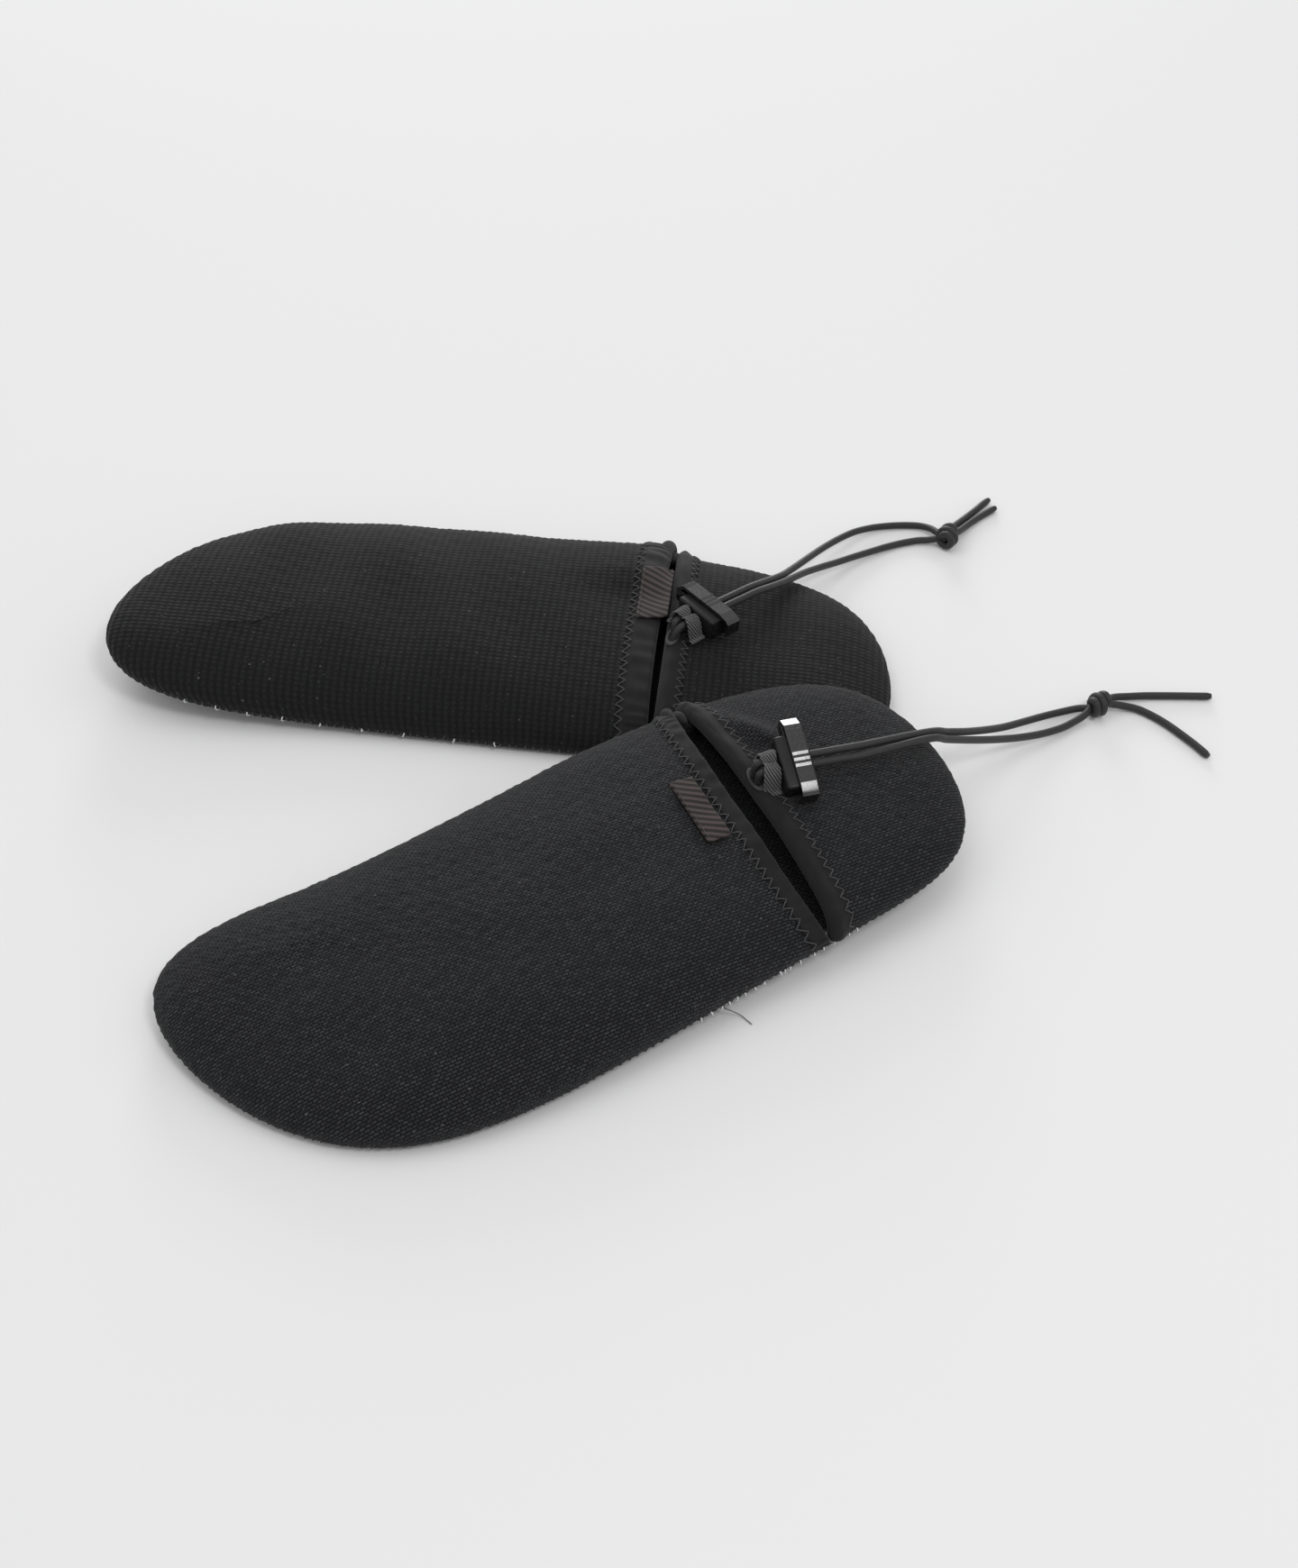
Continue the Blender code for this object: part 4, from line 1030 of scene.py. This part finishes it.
def add_roll(prefix):
    """The plump lip of the tunnel, full at the far end and slimmer towards the near one."""
    boot = BOOTS[prefix]
    v = np.concatenate([np.linspace(FAR_END, -0.80, 40), np.linspace(-0.79, 0.80, 150),
                        np.linspace(0.81, 0.995, 30)])
    share = (v + 1.0) / 2.0
    radius = 0.00255 - 0.00095 * smooth(share * 1.25) + 0.00010 * np.sin(v * 17.0 + 1.0)
    radius = radius * np.sqrt(np.clip((1.0 - np.abs(v)) / 0.035, 0.0, 1.0) * 0.8 + 0.2)
    points = beside(boot, collar_x(boot, v), v, 0.00005 - radius, 0.0003 - 0.30 * radius)
    cloth_tube(prefix, "collar_roll", points, radius, 22, "jersey")


def stitch_line(boot, edge, near, far, near_out, far_out):
    """A zigzag over the skin; each bar dips into the cloth at its ends."""
    v = np.linspace(-ZIGZAG_REACH, ZIGZAG_REACH, 900)
    line = on_skin(boot, edge(boot, v), v)
    arc = run_along(line)
    count = round(arc[-1] / ZIGZAG_PITCH)
    rng = np.random.default_rng(count)
    corners = np.linspace(0.0, arc[-1], count + 1) + rng.normal(0.0, ZIGZAG_PITCH * 0.14, count + 1)
    corner_v = np.interp(corners, arc, v)
    steps = np.linspace(0.0, 1.0, 6, endpoint=False)
    points = []
    for i in range(count):
        start, end = (near, far) if i % 2 == 0 else (far, near)
        start_out, end_out = (near_out, far_out) if i % 2 == 0 else (far_out, near_out)
        for t in steps:
            place = corner_v[i] + (corner_v[i + 1] - corner_v[i]) * t
            x = edge(boot, place) + start + (end - start) * t
            point, _, normal = skin_frame(boot, x, place)
            out = start_out + (end_out - start_out) * t + 0.00030 * math.sin(math.pi * t) - 0.00016
            points.append(point + normal * out)
    return np.array(points)


def add_threads(prefix):
    """The zigzags that sew hem and collar to their panels."""
    boot = BOOTS[prefix]
    width = boot["hem_width"]
    rows = {
        "vamp_zigzag": (hem_x, width - 0.0014, width + 0.0015, 0.00125, 0.00040),
        "collar_zigzag": (collar_x, -0.0062, -0.0090, 0.00150, 0.00040),
    }
    for name, row in rows.items():
        cloth_tube(prefix, f"{name}_thread", stitch_line(boot, *row), THREAD_RADIUS["zigzag"], 7, "thread",
                   f"{prefix}_{name}")


def join(name, objects):
    """Several pieces of one material made one mesh."""
    bm = bmesh.new()
    for obj in objects:
        bm.from_mesh(obj.data)
        bpy.data.objects.remove(obj)
    mesh = mesh_from(bm, name)
    mesh.shade_smooth()
    return link(bpy.data.objects.new(name, mesh))


def rim_stitch(prefix, theta, low_turn, high_turn, slant, out, radius):
    """One thread across the rolled lower edge."""
    boot = BOOTS[prefix]
    turn = np.linspace(low_turn, high_turn, 8)
    angle = theta + slant * (turn - low_turn)
    outer = skin(boot, angle, 1.0 + turn)
    inner = skin(boot, angle, 1.0 + turn, NEOPRENE)
    normal = unit(outer - inner)
    bow = np.sin(np.linspace(0.0, math.pi, 8))[:, None]
    return tube("stitch", to_world(prefix, outer + normal * (out * (0.25 + bow))), radius, 6)


def add_perimeter_seam(prefix):
    """Overlock thread round the rolled lower edge, and bits of the pale needle thread."""
    boot = BOOTS[prefix]
    thetas = np.linspace(0.0, math.tau, 4000)
    rim = skin(boot, thetas, np.ones_like(thetas))
    arc = run_along(rim)
    count = round(arc[-1] / OVERLOCK_PITCH)
    rng = np.random.default_rng(17)
    places = np.interp((np.arange(count) + rng.uniform(-0.2, 0.2, count)) * arc[-1] / count, arc, thetas)
    dark = [rim_stitch(prefix, theta, 0.10, 0.78, 0.012, 0.00022, THREAD_RADIUS["overlock"])
            for theta in places]
    seam = join(f"{prefix}_overlock", dark)
    finish_piece(seam, f"{prefix}_boot", "thread", f"{prefix}_perimeter_seam")
    # the needle thread shows through along one stretch of the near side
    first, last, number = NEEDLE_BITS[prefix]
    spread = np.linspace(first, last, number) + rng.uniform(-0.02, 0.02, number)
    pale = [rim_stitch(prefix, theta, rng.uniform(0.02, 0.2), rng.uniform(0.3, 0.48),
                       rng.uniform(-0.02, 0.03), 0.00075, THREAD_RADIUS["needle"]) for theta in spread]
    flecks = join(f"{prefix}_needle_thread", pale)
    finish_piece(flecks, f"{prefix}_boot", "pale_thread")


def add_loose_thread():
    """A short end of seam thread that hangs off the front boot's near edge."""
    line = [Vector(point) * MM + PAIR_SHIFT for point in LOOSE_THREAD]
    obj = tube("front_loose_thread", smooth_path(line, TUBE_STEP / 2.0), THREAD_RADIUS["loose"], 7)
    finish_piece(obj, "front_boot", "thread")


def add_label(prefix):
    """A woven label folded from thin satin, sewn along its toe-ward edge."""
    boot = BOOTS[prefix]
    spec = boot["label"]
    columns, rows = 44, 16
    y = np.linspace(spec["y"][0], spec["y"][1], columns)
    x = np.linspace(spec["x"][1], spec["x"][0], rows)
    sheet = np.zeros((rows, columns, 3))
    normals = np.zeros_like(sheet)
    for i in range(rows):
        for j in range(columns):
            sheet[i, j], _, normals[i, j] = skin_frame(boot, x[i], v_at_y(boot, x[i], y[j]))
    share = np.linspace(0.0, 1.0, rows)[:, None]
    wave = 0.00022 * np.sin(y * 420.0)[None, :] * share + spec["rise"] * share ** 2
    skins = [sheet + normals * (LABEL_BASE + extra + wave)[..., None] for extra in (0.0, LABEL_THICKNESS)]
    total = rows * columns
    index = np.arange(total).reshape(rows, columns)
    border = np.concatenate([index[0, :-1], index[:-1, -1], index[-1, :0:-1], index[:0:-1, 0]])
    after = np.roll(border, -1)
    faces = np.concatenate([grid_quads(rows, columns, 0, flip=True), grid_quads(rows, columns, total),
                            wall(border, after, total)])
    verts = np.concatenate([s.reshape(-1, 3) for s in skins])
    uv = np.stack(np.meshgrid(x, y, indexing="ij"), axis=-1).reshape(-1, 2)
    obj = new_mesh(f"{prefix}_satin_label", to_world(prefix, drape(prefix, verts)), faces,
                   np.concatenate([uv, uv]), merge=1e-9)
    finish_piece(obj, f"{prefix}_boot", "label", f"{prefix}_label")


def add_label_stitch(prefix):
    """A running stitch along the label's sewn edge."""
    boot = BOOTS[prefix]
    spec = boot["label"]
    stitches = []
    for k in range(LABEL_STITCHES):
        start = spec["y"][0] + 0.0012 + (spec["y"][1] - spec["y"][0] - 0.0024) * k / LABEL_STITCHES
        points = []
        for t in np.linspace(0.0, 1.0, 6):
            place = start + t * LABEL_STITCH_LENGTH
            point, _, normal = skin_frame(boot, spec["x"][1] - 0.0009, v_at_y(boot, spec["x"][1], place))
            out = LABEL_BASE + LABEL_THICKNESS + 0.00012 + 0.00018 * math.sin(math.pi * t)
            points.append(point + normal * out)
        line = to_world(prefix, drape(prefix, np.array(points)))
        stitches.append(tube("stitch", line, THREAD_RADIUS["label"], 6))
    row = join(f"{prefix}_label_thread", stitches)
    finish_piece(row, f"{prefix}_boot", "thread", f"{prefix}_label_stitch")


# ---- drawcord in the collar, cord guide and cord lock
def buttonhole(boot):
    """Where the cords' line meets the tunnel: x, y and v."""
    start, out = Vector(boot["lock"]["at"]), Vector(boot["lock"]["out"])
    y = start.y
    for _ in range(12):
        v = v_at_y(boot, float(collar_x(boot, 0.0)), y)
        x = float(collar_x(boot, v)) - TUNNEL_BACK
        y = start.y + out.y / out.x * (x - start.x)
    return x, y, v


def add_channel_cords(prefix):
    """The drawcord's halves: through the tunnel, out of the buttonhole and up to the guide."""
    boot = BOOTS[prefix]
    hole_x, hole_y, _ = buttonhole(boot)
    to_boot = lock_matrix(boot)
    for name, sign in (("left", 1), ("right", -1)):
        last = v_at_y(boot, hole_x, hole_y + sign * (STRAND_PITCH / 2.0 + 0.0041))
        v = np.linspace(sign * 0.90, last, 24)
        points = list(beside(boot, collar_x(boot, v), v, -TUNNEL_BACK, -TUNNEL_DEPTH * np.ones(24)))
        strand_y = hole_y + sign * STRAND_PITCH / 2.0
        point, _, normal = skin_frame(boot, hole_x, v_at_y(boot, hole_x, strand_y))
        points.append(point + np.array((-0.0003, sign * 0.0013, 0.0)) - normal * 0.0012)
        points.append(point + np.array((-0.0004, 0.0, 0.0)) + normal * 0.0012)
        before = np.array(to_boot @ Vector((STRAIGHT_START - 0.0024, -sign * STRAND_PITCH / 2.0, 0.0)))
        begin = np.array(to_boot @ Vector((STRAIGHT_START + 0.00045, -sign * STRAND_PITCH / 2.0, 0.0)))
        points += [point * 0.55 + before * 0.45 + normal * 0.0020, before, begin]
        path = smooth_path([np.array(p) for p in points], 0.0012)
        obj = tube(f"{prefix}_drawcord_{name}", to_world(prefix, path), CORD_DIAMETER / 2.0, 16)
        finish_piece(obj, f"{prefix}_boot", "bungee", f"{prefix}_channel_cord_{name}")


def add_buttonhole_stitch(prefix):
    """Bars of thread round the hole that the drawcord comes out of."""
    boot = BOOTS[prefix]
    hole_x, _, hole_v = buttonhole(boot)
    point, toeward, normal = skin_frame(boot, hole_x, hole_v)
    sideways = np.cross(normal, toeward)
    half_x, half_y = BUTTONHOLE_HALF
    bars = []
    for k in range(BUTTONHOLE_BARS):
        angle = math.tau * k / BUTTONHOLE_BARS
        direction = toeward * math.sin(angle) * half_x + sideways * math.cos(angle) * half_y
        reach = np.linspace(0.78, 1.16, 5)[:, None]
        hump = np.sin(np.linspace(0.15, math.pi, 5))[:, None]
        line = point + direction * reach + normal * (0.0022 + 0.00030 * hump)
        bars.append(tube("bar", to_world(prefix, drape(prefix, line)), THREAD_RADIUS["buttonhole"], 6))
    obj = join(f"{prefix}_buttonhole_thread", bars)
    finish_piece(obj, f"{prefix}_boot", "thread")


# the lock's block, pocket and slot: spans along A, B and C
LOCK_BLOCK = ((-0.0055, 0.0057), (-0.011, 0.009), (-0.0039, 0.0039))
LOCK_POCKET = ((-0.0017, 0.0047), (-0.0101, 0.0105), (-0.0029, 0.0029))
LOCK_SLOT = ((-0.008, 0.008), (-0.0037, 0.0037), (-0.0018, 0.0018))
# the strip's width and middle along A, and the rounding of its edges
STRIP_WIDTH = 0.0058
STRIP_CENTRE = 0.0015
STRIP_EDGE = 0.00012
# the spring between the tongue and the pocket's end, along B
SPRING_WIRE = 0.00025
SPRING_RADIUS = 0.002
SPRING_START = -0.0048 - 0.0003 - SPRING_WIRE
SPRING_END = -0.0101 + 0.0003 + SPRING_WIRE
SPRING_TURNS = 3.5


def lock_world(boot):
    return boot_matrix(boot) @ lock_matrix(boot)


def guide_path(prefix):
    """The ribbon's middle line in B and C: from foot to foot, over both cords in two humps."""
    foot = BOOTS[prefix]["lock"]["guide_foot"] + 0.0004
    near_foot = foot - (0.0012 if prefix == "front" else 0.0)
    half = 0.0058
    line = [(-half - 0.0024, near_foot), (-half - 0.0008, near_foot + 0.0005), (-half, near_foot + 0.0026),
            (-half + 0.0006, 0.0004), (-half + 0.0024, 0.0027), (-0.0016, 0.0030), (-0.0004, 0.0019),
            (0.0008, 0.0026), (0.0026, 0.0034), (half - 0.0012, 0.0022), (half, 0.0002),
            (half, foot + 0.0026), (half + 0.0006, foot + 0.0005), (half + 0.0024, foot)]
    return smooth_path([np.array((0.0, b, c)) for b, c in line], 0.00012)


def ribbon_ring(place, normal, run, share, across):
    """The ribbon's cross-section at one place, run metres along it: ribbed on top, thin at both edges."""
    along_a = np.array((1.0, 0.0, 0.0))
    # the ribbon gathers between the cords and skews a little towards the opening at its near end
    gather = 1.0 - 0.30 * math.exp(-((share - 0.47) / 0.09) ** 2)
    skew = -0.0008 * (0.5 - share)
    edge = 1.0 - np.clip((np.abs(across) - 0.93) / 0.07, 0.0, 1.0) ** 2
    slant = across * RIBBON_HALF_WIDTH * 0.86 + 0.5 * run
    rib = 0.00017 * np.cos(math.tau * slant / RIBBON_PITCH)
    belly = 0.0003 * np.sin(9.0 * share + 2.2 * across)
    top = place + normal * (0.00022 + rib + belly)[:, None] * edge[:, None]
    low = place - normal * (0.00032 * edge - belly * edge)[:, None]
    base = (GUIDE_CENTRE + skew) * along_a
    shift = (across * RIBBON_HALF_WIDTH * gather)[:, None] * along_a
    return np.concatenate([top + base + shift, (low + base + shift)[::-1]])


def add_guide(prefix):
    """A ribbed ribbon drawn over both cords, with its feet on the collar."""
    boot = BOOTS[prefix]
    path = guide_path(prefix)
    normal = np.cross(np.array((1.0, 0.0, 0.0)), unit(np.gradient(path, axis=0)))
    if normal[len(path) // 2, 2] < 0.0:
        normal = -normal
    along = run_along(path)
    across = np.linspace(-1.0, 1.0, 61)
    rings = np.array([ribbon_ring(place, out, run, run / along[-1], across)
                      for place, out, run in zip(path, normal, along)])
    both_faces = np.concatenate([across, across[::-1]])[None, :] * RIBBON_HALF_WIDTH
    uv = np.stack(np.broadcast_arrays(along[:, None], both_faces), axis=-1)
    matrix = np.array(boot_matrix(boot) @ guide_matrix(boot))
    obj = ring_mesh(f"{prefix}_ribbed_guide", rings @ matrix[:3, :3].T + matrix[:3, 3], uv, merge=1e-7)
    finish_piece(obj, f"{prefix}_boot", "ribbon", f"{prefix}_cord_guide")


def applied(obj, name, sharp=38.0):
    """The object with its modifiers applied, in world space, as a new piece."""
    bpy.context.view_layer.update()
    evaluated = obj.evaluated_get(bpy.context.evaluated_depsgraph_get())
    mesh = bpy.data.meshes.new_from_object(evaluated)
    mesh.transform(obj.matrix_world)
    bpy.data.objects.remove(obj)
    bm = bmesh.new()
    bm.from_mesh(mesh)
    bmesh.ops.remove_doubles(bm, verts=bm.verts, dist=1e-7)
    bmesh.ops.recalc_face_normals(bm, faces=bm.faces)
    bm.to_mesh(mesh)
    bm.free()
    mesh.name = name
    mesh.shade_smooth()
    mesh.set_sharp_from_angle(angle=math.radians(sharp))
    return link(bpy.data.objects.new(name, mesh))


def box_object(name, spans, matrix, bevel, segments=4):
    """A box with rounded edges, from its spans along A, B and C."""
    bm = bmesh.new()
    bmesh.ops.create_cube(bm, size=1.0)
    for vert in bm.verts:
        vert.co = Vector([(spans[i][0] + spans[i][1]) / 2.0 + vert.co[i] * (spans[i][1] - spans[i][0])
                          for i in range(3)])
    bmesh.ops.bevel(bm, geom=list(bm.edges), offset=bevel, segments=segments, profile=0.5, affect="EDGES")
    obj = link(bpy.data.objects.new(name, mesh_from(bm, name)))
    obj.matrix_world = matrix
    return obj


def add_lock_body(prefix):
    """The inner block, with a pocket for the tongue and a slot for both cords."""
    matrix = lock_world(BOOTS[prefix])
    body = box_object("lock_block", LOCK_BLOCK, matrix, 0.0010)
    cutters = [box_object("pocket", LOCK_POCKET, matrix, 0.0004, 2),
               box_object("slot", LOCK_SLOT, matrix, 0.0006, 2)]
    for cutter in cutters:
        modifier = body.modifiers.new("cut", "BOOLEAN")
        modifier.object = cutter
        modifier.solver = "EXACT"
    piece = applied(body, f"{prefix}_lock_block")
    for cutter in cutters:
        bpy.data.objects.remove(cutter)
    finish_piece(piece, f"{prefix}_lock", "block", f"{prefix}_lock_body")


def slider_outline():
    """The sprung strip in B and C, in millimetres: curl, ribbed thumb plate, far slope, leg and tongue."""
    quarter = [math.radians(degrees) for degrees in range(0, 91, 10)]
    outer = [(15.0, 2.6), (14.95, 3.0), (14.6, 3.36), (11.6, 5.70)]
    for start in (11.0, 10.1):
        outer += [(start, 5.7), (start - 0.05, 5.86), (start - 0.45, 5.7)]
    for start in (1.2, -1.0, -3.2):
        outer += [(start, 5.7), (start - 0.04, 5.98), (start - 1.10, 5.7)]
    outer += [(-10.2, 5.7), (-12.9, 5.0)]
    outer += [(-12.9 - 2.1 * math.sin(a), 2.9 + 2.1 * math.cos(a)) for a in quarter[2:]]
    outer += [(-15.0, -0.8), (-14.5, -1.8), (-13.5, -1.6), (-13.6, -0.8)]
    outer += [(-12.6 - 1.0 * math.cos(a), 2.6 + 1.0 * math.sin(a)) for a in quarter]
    outer += [(-9.8, 4.3), (11.0, 4.3), (13.2, 2.6), (-4.8, 2.6), (-4.8, -2.6), (14.2, -2.6), (15.0, -1.8)]
    window = [(6.6, 1.9), (-3.6, 1.9), (-3.6, -1.9), (6.6, -1.9)]
    return outer, window


def add_lock_slider(prefix):
    """The outer sprung strip, with the tongue that enters the block's pocket."""
    curve = bpy.data.curves.new("slider", "CURVE")
    curve.dimensions = "2D"
    curve.fill_mode = "BOTH"
    curve.bevel_depth = STRIP_EDGE
    curve.bevel_resolution = 2
    curve.offset = -STRIP_EDGE
    curve.extrude = STRIP_WIDTH / 2.0 - STRIP_EDGE
    for loop in slider_outline():
        spline = curve.splines.new("POLY")
        spline.points.add(len(loop) - 1)
        for slot, (b, c) in zip(spline.points, loop):
            slot.co = (b * MM, c * MM, 0.0, 1.0)
        spline.use_cyclic_u = True
    obj = link(bpy.data.objects.new("slider", curve))
    plate_turn = Matrix(((0, 0, 1, 0), (1, 0, 0, 0), (0, 1, 0, 0), (0, 0, 0, 1)))
    obj.matrix_world = lock_world(BOOTS[prefix]) @ Matrix.Translation((STRIP_CENTRE, 0.0, 0.0)) @ plate_turn
    piece = applied(obj, f"{prefix}_lock_strip", 12.0)
    finish_piece(piece, f"{prefix}_lock_slider", "plastic", f"{prefix}_lock_slider")


def add_lock_spring(prefix):
    """The coil between the tongue and the end of the pocket."""
    matrix = lock_world(BOOTS[prefix])
    points = []
    for t in np.linspace(0.0, 1.0, 150):
        angle = math.tau * SPRING_TURNS * t
        points.append(matrix @ Vector((STRIP_CENTRE + SPRING_RADIUS * math.cos(angle),
                                       SPRING_START + (SPRING_END - SPRING_START) * t,
                                       SPRING_RADIUS * math.sin(angle))))
    spring = tube(f"{prefix}_coil_spring", points, SPRING_WIRE, 10)
    finish_piece(spring, f"{prefix}_lock", "steel", f"{prefix}_lock_spring")
    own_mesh(spring)


def add_boot(prefix):
    add_panel(prefix, "vamp_panel", hem_x, 0.0015, math.pi)
    add_panel(prefix, "heel_panel", collar_x, -0.0049, 0.0)
    add_sole(prefix)
    add_hem(prefix)
    add_collar(prefix)
    add_threads(prefix)
    add_perimeter_seam(prefix)
    add_label(prefix)
    add_label_stitch(prefix)
    add_channel_cords(prefix)
    add_buttonhole_stitch(prefix)
    add_guide(prefix)
    add_lock_body(prefix)
    add_lock_slider(prefix)
    add_lock_spring(prefix)


add_camera()
for prefix in BOOTS:
    add_free_cords(prefix)
for prefix in BOOTS:
    add_boot(prefix)
add_loose_thread()
add_studio()
